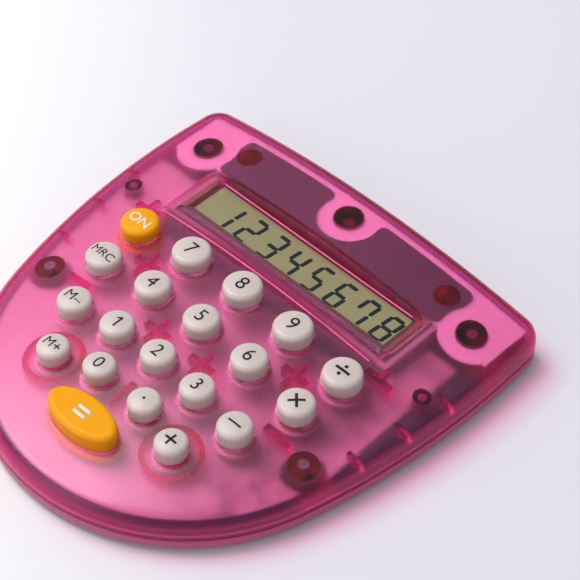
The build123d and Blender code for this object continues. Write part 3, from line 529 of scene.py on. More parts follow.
def blend(tree, factor, first, second):
    """Colour between two colours, each a socket or a plain colour."""
    step = tree.nodes.new("ShaderNodeMix")
    step.data_type = "RGBA"
    tree.links.new(factor, step.inputs["Factor"])
    for socket, colour in (("A", first), ("B", second)):
        if isinstance(colour, bpy.types.NodeSocket):
            tree.links.new(colour, step.inputs[socket])
        else:
            step.inputs[socket].default_value = opaque(colour)
    return step.outputs["Result"]


def either_shader(tree, ray, usual, other, outlet):
    """Sends one shader to the outlet, and another one for rays of the named kind."""
    path = tree.nodes.new("ShaderNodeLightPath")
    step = tree.nodes.new("ShaderNodeMixShader")
    tree.links.new(path.outputs[ray], step.inputs["Fac"])
    tree.links.new(usual, step.inputs[1])
    tree.links.new(other, step.inputs[2])
    tree.links.new(step.outputs["Shader"], tree.nodes[outlet].inputs["Surface"])


def grain_group():
    """Fine moulded grain and a slow mottle, shared by all finishes."""
    found = bpy.data.node_groups.get("moulded_grain")
    if found:
        return found
    tree = bpy.data.node_groups.new("moulded_grain", "ShaderNodeTree")
    for name, way, kind in GRAIN_SOCKETS:
        tree.interface.new_socket(name, in_out=way, socket_type="NodeSocket" + kind)
    nodes, links = tree.nodes, tree.links
    inlet = nodes.new("NodeGroupInput").outputs
    outlet = nodes.new("NodeGroupOutput").inputs
    grain = nodes.new("ShaderNodeTexNoise")
    grain.inputs["Detail"].default_value = GRAIN_DETAIL
    mottle = nodes.new("ShaderNodeTexNoise")
    mottle.inputs["Detail"].default_value = MOTTLE_DETAIL
    links.new(inlet["Vector"], grain.inputs["Vector"])
    links.new(inlet["Grain Scale"], grain.inputs["Scale"])
    links.new(inlet["Vector"], mottle.inputs["Vector"])
    links.new(inlet["Mottle Scale"], mottle.inputs["Scale"])
    patches = ramp(tree, mottle.outputs["Fac"], MOTTLE_LOW, MOTTLE_HIGH)
    rough = ramp(tree, patches, 0.0, 1.0, (inlet["Rough Low"], inlet["Rough High"]))
    links.new(blend(tree, patches, inlet["Dark"], inlet["Light"]), outlet["Color"])
    links.new(rough, outlet["Roughness"])
    links.new(grain.outputs["Fac"], outlet["Height"])
    return tree


def grained(name, colour, rough, grain, mottle, bump, contrast=0.93, shader=None):
    """Material with moulded grain, from its roughness limits, its grain and mottle sizes and its bump.

    Contrast is the share of the colour in the mottle's dark patches. Shader holds further shader values.
    """
    material = bpy.data.materials.new(name)
    material.use_nodes = True
    nodes, links = material.node_tree.nodes, material.node_tree.links
    base = nodes["Principled BSDF"]
    for socket, value in (shader or {}).items():
        base.inputs[socket].default_value = value
    place = nodes.new("ShaderNodeTexCoord")
    surface = nodes.new("ShaderNodeGroup")
    surface.node_tree = grain_group()
    surface.inputs["Grain Scale"].default_value = 1 / grain
    surface.inputs["Mottle Scale"].default_value = 1 / mottle
    surface.inputs["Rough Low"].default_value = rough[0]
    surface.inputs["Rough High"].default_value = rough[1]
    surface.inputs["Light"].default_value = opaque(colour)
    surface.inputs["Dark"].default_value = opaque(shaded(colour, contrast))
    relief = nodes.new("ShaderNodeBump")
    relief.inputs["Strength"].default_value = 1.0
    relief.inputs["Distance"].default_value = bump
    links.new(place.outputs["Object"], surface.inputs["Vector"])
    links.new(surface.outputs["Color"], base.inputs["Base Color"])
    links.new(surface.outputs["Roughness"], base.inputs["Roughness"])
    links.new(surface.outputs["Height"], relief.inputs["Height"])
    links.new(relief.outputs["Normal"], base.inputs["Normal"])
    return material


def place_socket(tree):
    """Place on the piece, which the patterns follow."""
    return tree.nodes["Texture Coordinate"].outputs["Object"]


def depth_mask(tree, sizes):
    """Mask of what lies under the face, apart from the recess's ramps, and height over the face."""
    place = place_socket(tree)
    peak = (0, sizes.face_peak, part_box(TOP_SHELL)[1].z)
    from_peak = vector_step(tree, "SUBTRACT", place, peak)["Vector"]
    square = vector_step(tree, "MULTIPLY", from_peak, from_peak)["Vector"]
    bend = (0.5 / sizes.face_round[0], 0.5 / sizes.face_round[1], 0)
    fall = vector_step(tree, "DOT_PRODUCT", square, bend)["Value"]
    height = number_step(tree, "ADD", fall, split(tree, from_peak)["Z"])
    deep = ramp(tree, height, -sizes.face_skin, -sizes.face_skin - sizes.face_fade)
    from_recess = vector_step(tree, "SUBTRACT", place, (0, sizes.recess_middle, 0))["Vector"]
    per_half = (1 / sizes.recess_half[0], 1 / sizes.recess_half[1], 0)
    halves = vector_step(tree, "MULTIPLY", from_recess, per_half)["Vector"]
    sides = split(tree, vector_step(tree, "ABSOLUTE", halves)["Vector"])
    widest = number_step(tree, "MAXIMUM", sides["X"], sides["Y"])
    outside = ramp(tree, widest, 1 - RECESS_FADE, 1 + RECESS_FADE)
    return number_step(tree, "MULTIPLY", deep, outside), height


def clear_pink_plastic(colours, sizes):
    """Clear pink plastic of the top shell: it absorbs in depth, is frosted and is redder in its ribs."""
    material = grained(
        "clear_pink_plastic", colours.case_skin, rough=(0.33, 0.39),
        grain=0.5 * MM, mottle=9 * MM, bump=0.003 * MM, contrast=0.97,
        shader={"Transmission Weight": 1.0, "IOR": PLASTIC_IOR})
    tree = material.node_tree
    nodes, links = tree.nodes, tree.links
    base, surface = nodes["Principled BSDF"], nodes["Group"].outputs
    ribs, height = depth_mask(tree, sizes)
    frost = ramp(tree, height, -sizes.frost_depth[0], -sizes.frost_depth[1], sizes.frost_share)
    rough = number_step(tree, "MULTIPLY", surface["Roughness"], frost)
    links.new(rough, base.inputs["Roughness"])
    links.new(blend(tree, ribs, surface["Color"], colours.case_deep), base.inputs["Base Color"])
    depth = nodes.new("ShaderNodeVolumeAbsorption")
    depth.inputs["Color"].default_value = opaque(colours.case_tint)
    depth.inputs["Density"].default_value = colours.case_density
    links.new(depth.outputs["Volume"], nodes["Material Output"].inputs["Volume"])
    clear = nodes.new("ShaderNodeBsdfTransparent")
    clear.inputs["Color"].default_value = opaque(colours.case_glow)
    either_shader(tree, "Is Shadow Ray", base.outputs["BSDF"], clear.outputs["BSDF"], "Material Output")
    return material


def milky_plastic(colours):
    """Milky pink plastic of the back shell and the battery cap."""
    return grained(
        "milky_plastic", colours.back_milk, rough=(0.32, 0.42),
        grain=0.5 * MM, mottle=9 * MM, bump=0.004 * MM, contrast=0.95,
        shader={"Transmission Weight": 0.25, "IOR": PLASTIC_IOR})


def shade_plastic():
    """Dark sheet plastic close under the face."""
    return grained(
        "shade_plastic", (0.068, 0.068, 0.078), rough=(0.45, 0.60),
        grain=0.4 * MM, mottle=12 * MM, bump=0.003 * MM, contrast=0.88)


def white_key_plastic(colours):
    """Warm white plastic of the keys."""
    return grained(
        "white_key_plastic", colours.key_white, rough=(0.30, 0.40),
        grain=0.35 * MM, mottle=3 * MM, bump=0.003 * MM, contrast=0.97,
        shader={
            "Subsurface Weight": 0.5,
            "Subsurface Radius": (2.0 * MM, 1.2 * MM, 0.9 * MM),
            "Subsurface Scale": 1.0,
            "Coat Weight": 0.12,
            "Coat Roughness": 0.12,
        })


def yellow_key_plastic(colours):
    """Golden yellow plastic of the ON and equals keys."""
    return grained(
        "yellow_key_plastic", colours.key_yellow, rough=(0.28, 0.38),
        grain=0.35 * MM, mottle=3 * MM, bump=0.003 * MM, contrast=0.95,
        shader={"Specular IOR Level": 0.15})


def black_ink(colours):
    """Black print."""
    return grained(
        "black_ink", colours.ink_black, rough=(0.45, 0.60),
        grain=0.2 * MM, mottle=1 * MM, bump=0.002 * MM,
        shader={"Specular IOR Level": 0.25})


def white_ink(colours):
    """White print."""
    return grained(
        "white_ink", colours.ink_white, rough=(0.40, 0.55),
        grain=0.2 * MM, mottle=1 * MM, bump=0.002 * MM)


def display_film(colours):
    """Olive green film of the display, satin like a polarizer."""
    return grained(
        "display_film", colours.display_film, rough=(0.16, 0.24),
        grain=0.25 * MM, mottle=8 * MM, bump=0.001 * MM, contrast=0.90,
        shader={"Coat Weight": 0.2, "Coat Roughness": 0.08})


def display_bar(colours):
    """Lit bars of the display."""
    return grained(
        "display_bar", colours.display_digit, rough=(0.22, 0.30),
        grain=0.25 * MM, mottle=2 * MM, bump=0.001 * MM)


def display_glass():
    """Thin clear plates of the display."""
    return grained(
        "display_glass", (0.93, 0.97, 0.95), rough=(0.02, 0.04),
        grain=2 * MM, mottle=20 * MM, bump=0.0005 * MM, contrast=0.99,
        shader={"Transmission Weight": 1.0, "IOR": GLASS_IOR})


def board_lacquer(colours, sizes):
    """Green lacquer of the board over a pattern of copper tracks."""
    material = grained(
        "board_lacquer", colours.board_mask, rough=(0.32, 0.42),
        grain=0.6 * MM, mottle=6 * MM, bump=0.002 * MM, contrast=0.85)
    tree = material.node_tree
    tracks = tree.nodes.new("ShaderNodeTexBrick")
    tracks.inputs["Scale"].default_value = 1 / sizes.track_pitch
    tracks.inputs["Mortar Size"].default_value = 0.07
    tracks.inputs["Mortar Smooth"].default_value = 0.1
    for socket, share in (("Color1", 0.9), ("Color2", 1.0), ("Mortar", 1.25)):
        tracks.inputs[socket].default_value = opaque(shaded(colours.board_mask, share))
    tree.links.new(place_socket(tree), tracks.inputs["Vector"])
    tree.links.new(tracks.outputs["Color"], tree.nodes["Group"].inputs["Light"])
    return material


def keypad_silicone(colours, sizes):
    """Pale silicone rubber, with painted shade that darkens it along its right edge."""
    material = grained(
        "keypad_silicone", colours.keypad_rubber, rough=(0.55, 0.70),
        grain=0.4 * MM, mottle=7 * MM, bump=0.004 * MM, contrast=0.90,
        shader={
            "Subsurface Weight": 0.1,
            "Subsurface Radius": (0.8 * MM, 0.7 * MM, 0.7 * MM),
            "Subsurface Scale": 1.0,
        })
    tree = material.node_tree
    across = split(tree, place_socket(tree))["X"]
    # Painted shade: the sheet's colour darkens towards its right edge.
    edge = ramp(tree, across, sizes.keypad_shade_fade[0], sizes.keypad_shade_fade[1], eased=True)
    tone = blend(tree, edge, colours.keypad_rubber, colours.keypad_painted_shade)
    tree.links.new(tone, tree.nodes["Group"].inputs["Light"])
    return material


def holder_plastic():
    """Pale moulded plastic of the display holder."""
    return grained(
        "holder_plastic", (0.56, 0.50, 0.48), rough=(0.45, 0.60),
        grain=0.4 * MM, mottle=5 * MM, bump=0.005 * MM, contrast=0.9)


def striped_rubber(sizes):
    """Connector strip of thin black and pale layers."""
    pale, dark = (0.55, 0.42, 0.40), (0.03, 0.03, 0.03)
    material = grained(
        "striped_rubber", pale, rough=(0.55, 0.70),
        grain=0.3 * MM, mottle=4 * MM, bump=0.002 * MM)
    tree = material.node_tree
    layers = tree.nodes.new("ShaderNodeTexWave")
    layers.inputs["Scale"].default_value = 1 / sizes.strip_pitch
    tree.links.new(place_socket(tree), layers.inputs["Vector"])
    tone = blend(tree, layers.outputs["Fac"], dark, pale)
    tree.links.new(tone, tree.nodes["Group"].inputs["Light"])
    return material


def lip_highlight_plastic(colours):
    """Rounded lips of the pink plastic, coloured opaque bright pink as a painted highlight."""
    return grained(
        "lip_highlight_plastic", colours.lip_painted_highlight, rough=(0.18, 0.28),
        grain=0.4 * MM, mottle=6 * MM, bump=0.001 * MM, contrast=0.88)


def backing_film():
    """White insulating film."""
    return grained(
        "backing_film", (0.93, 0.93, 0.91), rough=(0.50, 0.62),
        grain=0.4 * MM, mottle=10 * MM, bump=0.002 * MM, contrast=0.96)


def chip_resin():
    """Glossy black resin."""
    return grained(
        "chip_resin", (0.012, 0.012, 0.014), rough=(0.12, 0.22),
        grain=0.8 * MM, mottle=3 * MM, bump=0.004 * MM)


def component_ceramic():
    """Tan ceramic of the small components."""
    return grained(
        "component_ceramic", (0.42, 0.30, 0.18), rough=(0.40, 0.55),
        grain=0.2 * MM, mottle=1 * MM, bump=0.002 * MM, contrast=0.8)


def plated_metal(name, colour):
    """Plated metal of the cell, the contacts and the screws."""
    return grained(
        name, colour, rough=(0.22, 0.36),
        grain=0.15 * MM, mottle=3 * MM, bump=0.001 * MM, contrast=0.85,
        shader={"Metallic": 1.0})


def foot_rubber():
    """Black rubber of the feet."""
    return grained(
        "foot_rubber", (0.025, 0.025, 0.027), rough=(0.60, 0.78),
        grain=0.3 * MM, mottle=2 * MM, bump=0.010 * MM, contrast=0.8)


def reflector_film():
    """Silvery film behind the display."""
    return grained(
        "reflector_film", (0.55, 0.56, 0.48), rough=(0.35, 0.45),
        grain=0.2 * MM, mottle=4 * MM, bump=0.001 * MM)


def floor_paper(colours, stage):
    """Pale paper of the floor, with painted shade that makes it a little dimmer towards the right of the
    picture.
    """
    material = grained(
        "floor_paper", colours.floor_near, rough=(0.60, 0.70),
        grain=1.5 * MM, mottle=60 * MM, bump=0.002 * MM, contrast=0.99)
    tree = material.node_tree
    ahead = Vector(stage.camera_aim) - Vector(stage.camera_place)
    right = Vector((ahead.y, -ahead.x, 0)).normalized()
    across = vector_step(tree, "DOT_PRODUCT", place_socket(tree), right)["Value"]
    # Painted shade: the floor darkens towards the right of the picture.
    fade = ramp(tree, across, stage.floor_shade_fade[0], stage.floor_shade_fade[1])
    tone = blend(tree, fade, colours.floor_near, colours.floor_painted_shade)
    for socket in ("Light", "Dark"):
        tree.links.new(tone, tree.nodes["Group"].inputs[socket])
    return material


class CALCULATOR_OT_case(bpy.types.Operator):
    """Give the shells, the battery cap and the plate under the face their plastic"""
    bl_idname = "calculator.case"
    bl_label = "Case"

    def execute(self, context):
        colours = context.scene.calculator_colours
        dress(TOP_SHELL, clear_pink_plastic(colours, context.scene.calculator_sizes))
        milk = milky_plastic(colours)
        dress("back_shell", milk)
        dress("battery_cap", milk)
        dress("display_shade", shade_plastic())
        return {"FINISHED"}


class CALCULATOR_OT_keys(bpy.types.Operator):
    """Give the keys their plastic"""
    bl_idname = "calculator.keys"
    bl_label = "Keys"

    def execute(self, context):
        colours = context.scene.calculator_colours
        white, yellow = white_key_plastic(colours), yellow_key_plastic(colours)
        for node in LEGENDS:
            dress(node, yellow if node in YELLOW_KEYS else white)
        return {"FINISHED"}


class CALCULATOR_OT_legends(bpy.types.Operator):
    """Print the legends on the keys"""
    bl_idname = "calculator.legends"
    bl_label = "Legends"

    def execute(self, context):
        colours = context.scene.calculator_colours
        black, white = black_ink(colours), white_ink(colours)
        for node, (words, share) in LEGENDS.items():
            legend = self.print_legend(context, node, words, share)
            if node in YELLOW_KEYS:
                dress_piece(legend, white, node)
            else:
                dress_piece(legend, black, node)
        return {"FINISHED"}

    def print_legend(self, context, node, words, share):
        """Text made a mesh, laid over the key's top and given the thickness of ink."""
        sizes = context.scene.calculator_sizes
        low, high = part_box(node)
        deselect_all()
        bpy.ops.object.text_add()
        letters = context.object
        letters.name = node + "_legend"
        letters.data.body = words
        letters.data.size = share * (high.y - low.y)
        letters.data.offset = sizes.ink_weight * letters.data.size if node in YELLOW_KEYS else 0.0
        bpy.ops.object.convert(target="MESH")
        legend = context.object
        if words == "1":
            self.add_flag(context, legend)
        middle = middle_of(legend)
        x = (low.x + high.x) / 2 - middle.x
        y = (low.y + high.y) / 2 - middle.y
        legend.location = (x, y, high.z + MM)
        apply_place(legend)
        bpy.ops.object.mode_set(mode="EDIT")
        bpy.ops.mesh.select_all(action="SELECT")
        bpy.ops.mesh.remove_doubles(threshold=DRAWN_MERGE)
        bpy.ops.mesh.subdivide(number_cuts=3)
        bpy.ops.object.mode_set(mode="OBJECT")
        lay_over(legend, node, -sizes.ink_thickness / 3)
        thicken(legend, sizes.ink_thickness)
        return legend

    def add_flag(self, context, legend):
        """Slanting stroke at the upper left of the digit one, joined to its upright bar."""
        low, high = Vector(legend.bound_box[0]), Vector(legend.bound_box[6])
        stroke = FLAG_STROKE * (high.x - low.x)
        reach = FLAG_REACH * (high.y - low.y)
        deselect_all()
        bpy.ops.mesh.primitive_plane_add(size=1)
        flag = context.object
        for vertex in flag.data.vertices:
            outer, lower = vertex.co.x < 0, vertex.co.y < 0
            x = low.x - (reach if outer else 0)
            y = high.y - (FLAG_FALL * reach if outer else 0) - (stroke if lower else 0)
            vertex.co = (x, y, 0)
        flag.select_set(True)
        legend.select_set(True)
        context.view_layer.objects.active = legend
        bpy.ops.object.join()


class CALCULATOR_OT_display(bpy.types.Operator):
    """Dress the layers of the display and light its digits"""
    bl_idname = "calculator.display"
    bl_label = "Display"

    def execute(self, context):
        colours = context.scene.calculator_colours
        dress("lcd_polarizer", display_film(colours))
        glass = display_glass()
        dress("lcd_front_glass", glass)
        dress("lcd_rear_glass", glass)
        dress("lcd_reflector", reflector_film())
        dress("lcd_holder", holder_plastic())
        dress("zebra_connector", striped_rubber(context.scene.calculator_sizes))
        digits = self.light_digits(context)
        dress_piece(digits, display_bar(colours), CASE)
        return {"FINISHED"}

    def light_digits(self, context):
        """Seven bar digits in a row, joined to one piece and leaning to the right."""
        sizes = context.scene.calculator_sizes
        low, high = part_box("lcd_polarizer")
        half_width, half_height = sizes.digit_width / 2, sizes.digit_height / 2
        upright = self.make_bar(context, half_height - sizes.digit_gap)
        flat = self.make_bar(context, 2 * half_width - sizes.digit_gap)
        flat.data.transform(Matrix.Rotation(radians(90), 4, "Z"))
        count = len(LIT_BARS)
        pieces = []
        for place, digit in enumerate(sorted(LIT_BARS)):
            x = sizes.last_digit - (count - 1 - place) * sizes.digit_pitch
            for bar in LIT_BARS[digit]:
                across, up, lies = BARS[bar]
                piece = (flat if lies else upright).copy()
                piece.data = piece.data.copy()
                context.collection.objects.link(piece)
                bar_y = up * half_height
                bar_x = x + across * half_width + bar_y * sizes.digit_slant
                lean = Matrix.Translation((bar_x, bar_y, 0))
                lean[0][1] = sizes.digit_slant
                piece.data.transform(lean)
                pieces.append(piece)
        deselect_all()
        for piece in pieces:
            piece.select_set(True)
        context.view_layer.objects.active = pieces[0]
        bpy.ops.object.join()
        digits = context.object
        digits.name = "lcd_digits"
        digits.location = (0, low.y + sizes.digit_rise, high.z - sizes.film_lift)
        apply_place(digits)
        thicken(digits, 2 * sizes.film_lift)
        for bar in (upright, flat):
            bpy.data.objects.remove(bar)
        return digits

    def make_bar(self, context, length):
        """Upright bar with pointed ends, stretched from a six sided disc."""
        radius = context.scene.calculator_sizes.digit_bar / 3 ** 0.5
        deselect_all()
        bpy.ops.mesh.primitive_circle_add(vertices=6, radius=radius, fill_type="NGON")
        bar = context.object
        for vertex in bar.data.vertices:
            end = 1 if vertex.co.y > 0 else -1
            vertex.co.y += end * (length / 2 - radius)
        return bar


class CALCULATOR_OT_backing(bpy.types.Operator):
    """Lay the pale film under the shade plate and round the upper bosses of the case"""
    bl_idname = "calculator.backing"
    bl_label = "Backing film"
    tool_reach = 0.1

    def execute(self, context):
        sizes = context.scene.calculator_sizes
        low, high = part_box("display_shade")
        bosses = [place for place in self.screw_places(context) if place.y > low.y]
        corners = [place for place in bosses if abs(place.x) > high.x]
        posts = [(side * (high.x - sizes.post_inset), low.y + sizes.post_rise) for side in (-1, 1)]
        side, top = high.x + sizes.backing_side, high.y + sizes.backing_top
        film = self.curve_film(context, side, corners[0].y - sizes.backing_reach, top)
        outline = add_block(context, (-side, low.y, -self.tool_reach / 2), (side, top, self.tool_reach / 2))
        for place in corners:
            combine(outline, self.add_disc(context, place, sizes.backing_reach), "UNION")
        for place in bosses:
            combine(outline, self.add_disc(context, place, sizes.boss_hole), "DIFFERENCE")
        for place in posts:
            combine(outline, self.add_disc(context, place, sizes.post_hole), "DIFFERENCE")
        combine(film, outline, "INTERSECT")
        take_up(film)
        bpy.ops.object.shade_smooth_by_angle(angle=SMOOTH_ANGLE)
        dress_piece(film, backing_film(), CASE)
        return {"FINISHED"}

    def screw_places(self, context):
        """Middle of each case screw, from the screws taken apart."""
        copy_solid(context, "case_screws", "screws")
        bpy.ops.object.mode_set(mode="EDIT")
        bpy.ops.mesh.separate(type="LOOSE")
        bpy.ops.object.mode_set(mode="OBJECT")
        screws = list(context.selected_objects)
        places = [middle_of(screw) for screw in screws]
        for screw in screws:
            bpy.data.objects.remove(screw)
        return places

    def curve_film(self, context, side, low_y, high_y):
        """Film that follows the face, close under the shade plate."""
        sizes = context.scene.calculator_sizes
        face_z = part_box(TOP_SHELL)[1].z
        plate_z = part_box("display_shade")[1].z
        deselect_all()
        bpy.ops.mesh.primitive_grid_add(x_subdivisions=80, y_subdivisions=24, size=1)
        film = context.object
        film.name = "shade_backing"
        film.scale = (2 * side, high_y - low_y, 1)
        film.location = (0, (low_y + high_y) / 2, face_z + MM)
        apply_place(film)
        lay_over(film, TOP_SHELL)
        film.location.z = plate_z - face_z - sizes.backing_drop
        apply_place(film)
        thicken(film, sizes.backing_thickness)
        return film

    def add_disc(self, context, place, radius):
        """Tall disc at a place in plan."""
        deselect_all()
        bpy.ops.mesh.primitive_cylinder_add(
            vertices=64, radius=radius, depth=2 * self.tool_reach, location=(place[0], place[1], 0))
        return context.object


class CALCULATOR_OT_lips(bpy.types.Operator):
    """Round off the upper edge and the lower ridge of the display recess"""
    bl_idname = "calculator.lips"
    bl_label = "Recess lips"

    def execute(self, context):
        sizes = context.scene.calculator_sizes
        # The lips are real rounded beads that catch lamp light, and are coloured bright opaque pink as a
        # painted highlight.
        pink = lip_highlight_plastic(context.scene.calculator_colours)
        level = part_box("lcd_polarizer")[1].z + sizes.lip_rise
        upper = self.draw_lip(context, "upper_lip", sizes.lip_upper, sizes.lip_half[0], level, level)
        fall = (sizes.lip_lower - sizes.face_peak) ** 2 / (2 * sizes.face_round[1])
        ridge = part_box(TOP_SHELL)[1].z - fall - sizes.lip_sink * sizes.lip_radius
        end = ridge - sizes.lip_half[1] ** 2 / (2 * sizes.face_round[0])
        lower = self.draw_lip(context, "lower_lip", sizes.lip_lower, sizes.lip_half[1], ridge, end)
        for lip in (upper, lower):
            dress_piece(lip, pink, CASE)
        return {"FINISHED"}

    def draw_lip(self, context, name, y, half, middle, end):
        """Round bead across the case, through the heights of its middle and its ends."""
        sizes = context.scene.calculator_sizes
        pull = Vector((0, y, 2 * middle - end))
        deselect_all()
        bpy.ops.curve.primitive_bezier_curve_add()
        bead = context.object
        bead.name = name
        bead.data.resolution_u = 40
        bead.data.bevel_depth = sizes.lip_radius
        bead.data.bevel_resolution = 4
        bead.data.use_fill_caps = True
        for point, side in zip(bead.data.splines[0].bezier_points, (-1, 1)):
            place = Vector((side * half, y, end))
            handle = place + (pull - place) * 2 / 3
            point.handle_left_type = "FREE"
            point.handle_right_type = "FREE"
            point.co = place
            point.handle_right = handle if side < 0 else 2 * place - handle
            point.handle_left = 2 * place - handle if side < 0 else handle
        bpy.ops.object.convert(target="MESH")
        lip = context.object
        bpy.ops.object.mode_set(mode="EDIT")
        bpy.ops.mesh.select_all(action="SELECT")
        bpy.ops.mesh.remove_doubles(threshold=DRAWN_MERGE)
        bpy.ops.mesh.normals_make_consistent(inside=False)
        bpy.ops.object.mode_set(mode="OBJECT")
        bpy.ops.object.shade_smooth_by_angle(angle=BEAD_ANGLE)
        return lip


class CALCULATOR_OT_keypad(bpy.types.Operator):
    """Make the rubber keypad as a sheet with a dome under each key"""
    bl_idname = "calculator.keypad"
    bl_label = "Rubber keypad"

    def execute(self, context):
        sizes = context.scene.calculator_sizes
        silicone = keypad_silicone(context.scene.calculator_colours, sizes)
        low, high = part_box(KEYPAD)
        sheet_top = high.z - sizes.dome_height
        sheet = self.cut_sheet(context, low, sheet_top)
        dress_piece(sheet, silicone, CASE)
        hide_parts(KEYPAD)
        dome = self.shape_dome(context)
        for node in LEGENDS:
            low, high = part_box(node)
            sides = (-1, 1) if node == "key_equals" else (0,)
            for side in sides:
                x = (low.x + high.x) / 2 + side * sizes.equals_domes
                place = Vector((x, (low.y + high.y) / 2, sheet_top))
                self.place_dome(context, dome, node, place, silicone)
        bpy.data.objects.remove(dome)
        return {"FINISHED"}

    def cut_sheet(self, context, low, sheet_top):
        """The solid's own mesh, cut off at the top of the sheet."""
        sheet = copy_solid(context, KEYPAD, "keypad_sheet")
        half = 100 * MM
        top = sheet_top - 0.005 * MM
        block = add_block(context, (-half, -half, low.z - MM), (half, half, top))
        combine(sheet, block, "INTERSECT")
        take_up(sheet)
        bpy.ops.object.shade_smooth_by_angle(angle=SMOOTH_ANGLE)
        return sheet

    def shape_dome(self, context):
        """One dome with its contact pill, drawn out ring by ring from its top."""
        sizes = context.scene.calculator_sizes
        shoulder = 0.15 * MM
        inner = sizes.dome_height - sizes.dome_wall
        start = sizes.dome_top - shoulder
        rings = (
            (sizes.dome_top, sizes.dome_height - shoulder),
            (sizes.dome_base, 0),
            (sizes.dome_base - 2 * sizes.dome_wall, 0),
            (sizes.dome_top - sizes.dome_wall, inner),
            (sizes.dome_wall * 2, inner),
            (sizes.dome_wall * 2, inner / 2),
        )
        deselect_all()
        bpy.ops.mesh.primitive_circle_add(
            vertices=40, radius=start, fill_type="NGON", location=(0, 0, sizes.dome_height))
        dome = context.object
        apply_place(dome)
        bpy.ops.object.mode_set(mode="EDIT")
        bpy.ops.mesh.select_all(action="SELECT")
        radius, level = start, sizes.dome_height
        for new_radius, new_level in rings:
            bpy.ops.mesh.extrude_edges_move(TRANSFORM_OT_translate={"value": (0, 0, new_level - level)})
            share = new_radius / radius
            bpy.ops.transform.resize(value=(share, share, 1), center_override=(0, 0, new_level))
            radius, level = new_radius, new_level
        bpy.ops.mesh.edge_face_add()
        bpy.ops.mesh.select_all(action="SELECT")
        bpy.ops.mesh.normals_make_consistent(inside=False)
        bpy.ops.object.mode_set(mode="OBJECT")
        bpy.ops.object.shade_smooth_by_angle(angle=SMOOTH_ANGLE)
        return dome

    def place_dome(self, context, dome, node, place, silicone):
        """A dome of its own under a key."""
        piece = bpy.data.objects.new(node + "_dome", dome.data.copy())
        context.collection.objects.link(piece)
        piece.data.transform(Matrix.Translation(place))
        dress_piece(piece, silicone, CASE)
        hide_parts(KEYPAD)
        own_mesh(piece)


class CALCULATOR_OT_inside(bpy.types.Operator):
    """Dress the board, the battery parts, the screws and the feet"""
    bl_idname = "calculator.inside"
    bl_label = "Board and fittings"

    def execute(self, context):
        settings = context.scene
        dress("circuit_board", board_lacquer(settings.calculator_colours, settings.calculator_sizes))
        dress("chip_blob", chip_resin())
        dress("board_components", component_ceramic())
        dress("button_cell", plated_metal("cell_plating", (0.66, 0.66, 0.64)))
        brass = plated_metal("contact_brass", (0.75, 0.58, 0.28))
        dress("battery_spring_contact", brass)
        dress("battery_clip_contact", brass)
        steel = plated_metal("screw_plating", (0.24, 0.23, 0.23))
        dress("case_screws", steel)
        dress("board_screws", steel)
        dress("rubber_feet", foot_rubber())
        return {"FINISHED"}


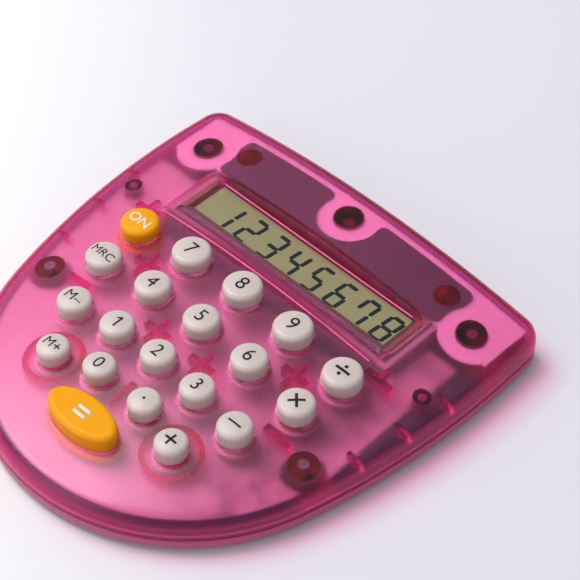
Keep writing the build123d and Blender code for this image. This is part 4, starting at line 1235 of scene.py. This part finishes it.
class CALCULATOR_OT_stage(bpy.types.Operator):
    """Set up the floor, the lamps and the camera"""
    bl_idname = "calculator.stage"
    bl_label = "Stage"

    def execute(self, context):
        stage = context.scene.calculator_stage
        self.lay_floor(context, stage)
        self.hang_lamp(context, stage, "soft_lamp", stage.lamp_way, stage.lamp_power)
        self.hang_lamp(context, stage, "front_lamp", stage.front_way, stage.front_power)
        self.fill_sky(context, stage)
        self.stand_camera(context, stage)
        context.scene.view_settings.view_transform = "Standard"
        return {"FINISHED"}

    def lay_floor(self, context, stage):
        """Pale floor under the feet."""
        deselect_all()
        bpy.ops.mesh.primitive_plane_add(size=stage.floor_reach, location=(0, 0, -stage.floor_drop))
        floor = context.object
        floor.name = "floor"
        floor.data.materials.append(floor_paper(context.scene.calculator_colours, stage))

    def hang_lamp(self, context, stage, name, way, power):
        """One large soft lamp."""
        aim = Vector(stage.camera_aim)
        way = Vector(way).normalized()
        deselect_all()
        bpy.ops.object.light_add(type="AREA", location=aim + way * stage.lamp_distance)
        lamp = context.object
        lamp.name = name
        lamp.rotation_euler = way.to_track_quat("Z", "Y").to_euler()
        lamp.data.size = stage.lamp_size
        lamp.data.energy = power

    def fill_sky(self, context, stage):
        """Even light from all around, dimmer in reflections."""
        sky = bpy.data.worlds.new("studio")
        sky.use_nodes = True
        context.scene.world = sky
        tree = sky.node_tree
        light = tree.nodes["Background"]
        light.inputs["Color"].default_value = opaque(stage.sky_tint)
        light.inputs["Strength"].default_value = stage.sky_strength
        dim = tree.nodes.new("ShaderNodeBackground")
        dim.inputs["Color"].default_value = opaque(stage.gloss_tint)
        dim.inputs["Strength"].default_value = stage.sky_strength * stage.gloss_share
        either_shader(
            tree, "Is Glossy Ray", light.outputs["Background"], dim.outputs["Background"], "World Output")

    def stand_camera(self, context, stage):
        """Camera at the angle from which the keys and the display are read."""
        place, aim = Vector(stage.camera_place), Vector(stage.camera_aim)
        deselect_all()
        bpy.ops.object.camera_add(location=place)
        camera = context.object
        camera.rotation_euler = (place - aim).to_track_quat("Z", "Y").to_euler()
        camera.data.lens = stage.camera_lens
        camera.data.sensor_width = 36.0
        camera.data.clip_start = 0.01
        context.scene.camera = camera


STEPS = (
    CALCULATOR_OT_stage,
    CALCULATOR_OT_case,
    CALCULATOR_OT_keys,
    CALCULATOR_OT_legends,
    CALCULATOR_OT_display,
    CALCULATOR_OT_backing,
    CALCULATOR_OT_lips,
    CALCULATOR_OT_keypad,
    CALCULATOR_OT_inside,
)


class CALCULATOR_PT_panel(bpy.types.Panel):
    """Sidebar panel with the steps in order"""
    bl_label = "Calculator"
    bl_idname = "CALCULATOR_PT_panel"
    bl_space_type = "VIEW_3D"
    bl_region_type = "UI"
    bl_category = "Calculator"

    def draw(self, context):
        for step in STEPS:
            self.layout.operator(step.bl_idname)


GROUPS = {
    "calculator_colours": CalculatorColours,
    "calculator_sizes": CalculatorSizes,
    "calculator_stage": CalculatorStage,
}


def register():
    """Makes the settings, steps and panel known."""
    for name, group in GROUPS.items():
        bpy.utils.register_class(group)
        setattr(bpy.types.Scene, name, bpy.props.PointerProperty(type=group))
    for step in STEPS + (CALCULATOR_PT_panel,):
        bpy.utils.register_class(step)


def unregister():
    """Takes the settings, steps and panel away again."""
    for step in reversed(STEPS + (CALCULATOR_PT_panel,)):
        bpy.utils.unregister_class(step)
    for name, group in GROUPS.items():
        delattr(bpy.types.Scene, name)
        bpy.utils.unregister_class(group)


def main():
    """Runs every step in order."""
    register()
    bpy.ops.calculator.stage()
    bpy.ops.calculator.case()
    bpy.ops.calculator.keys()
    bpy.ops.calculator.legends()
    bpy.ops.calculator.display()
    bpy.ops.calculator.backing()
    bpy.ops.calculator.lips()
    bpy.ops.calculator.keypad()
    bpy.ops.calculator.inside()


if __name__ == "__main__":
    main()
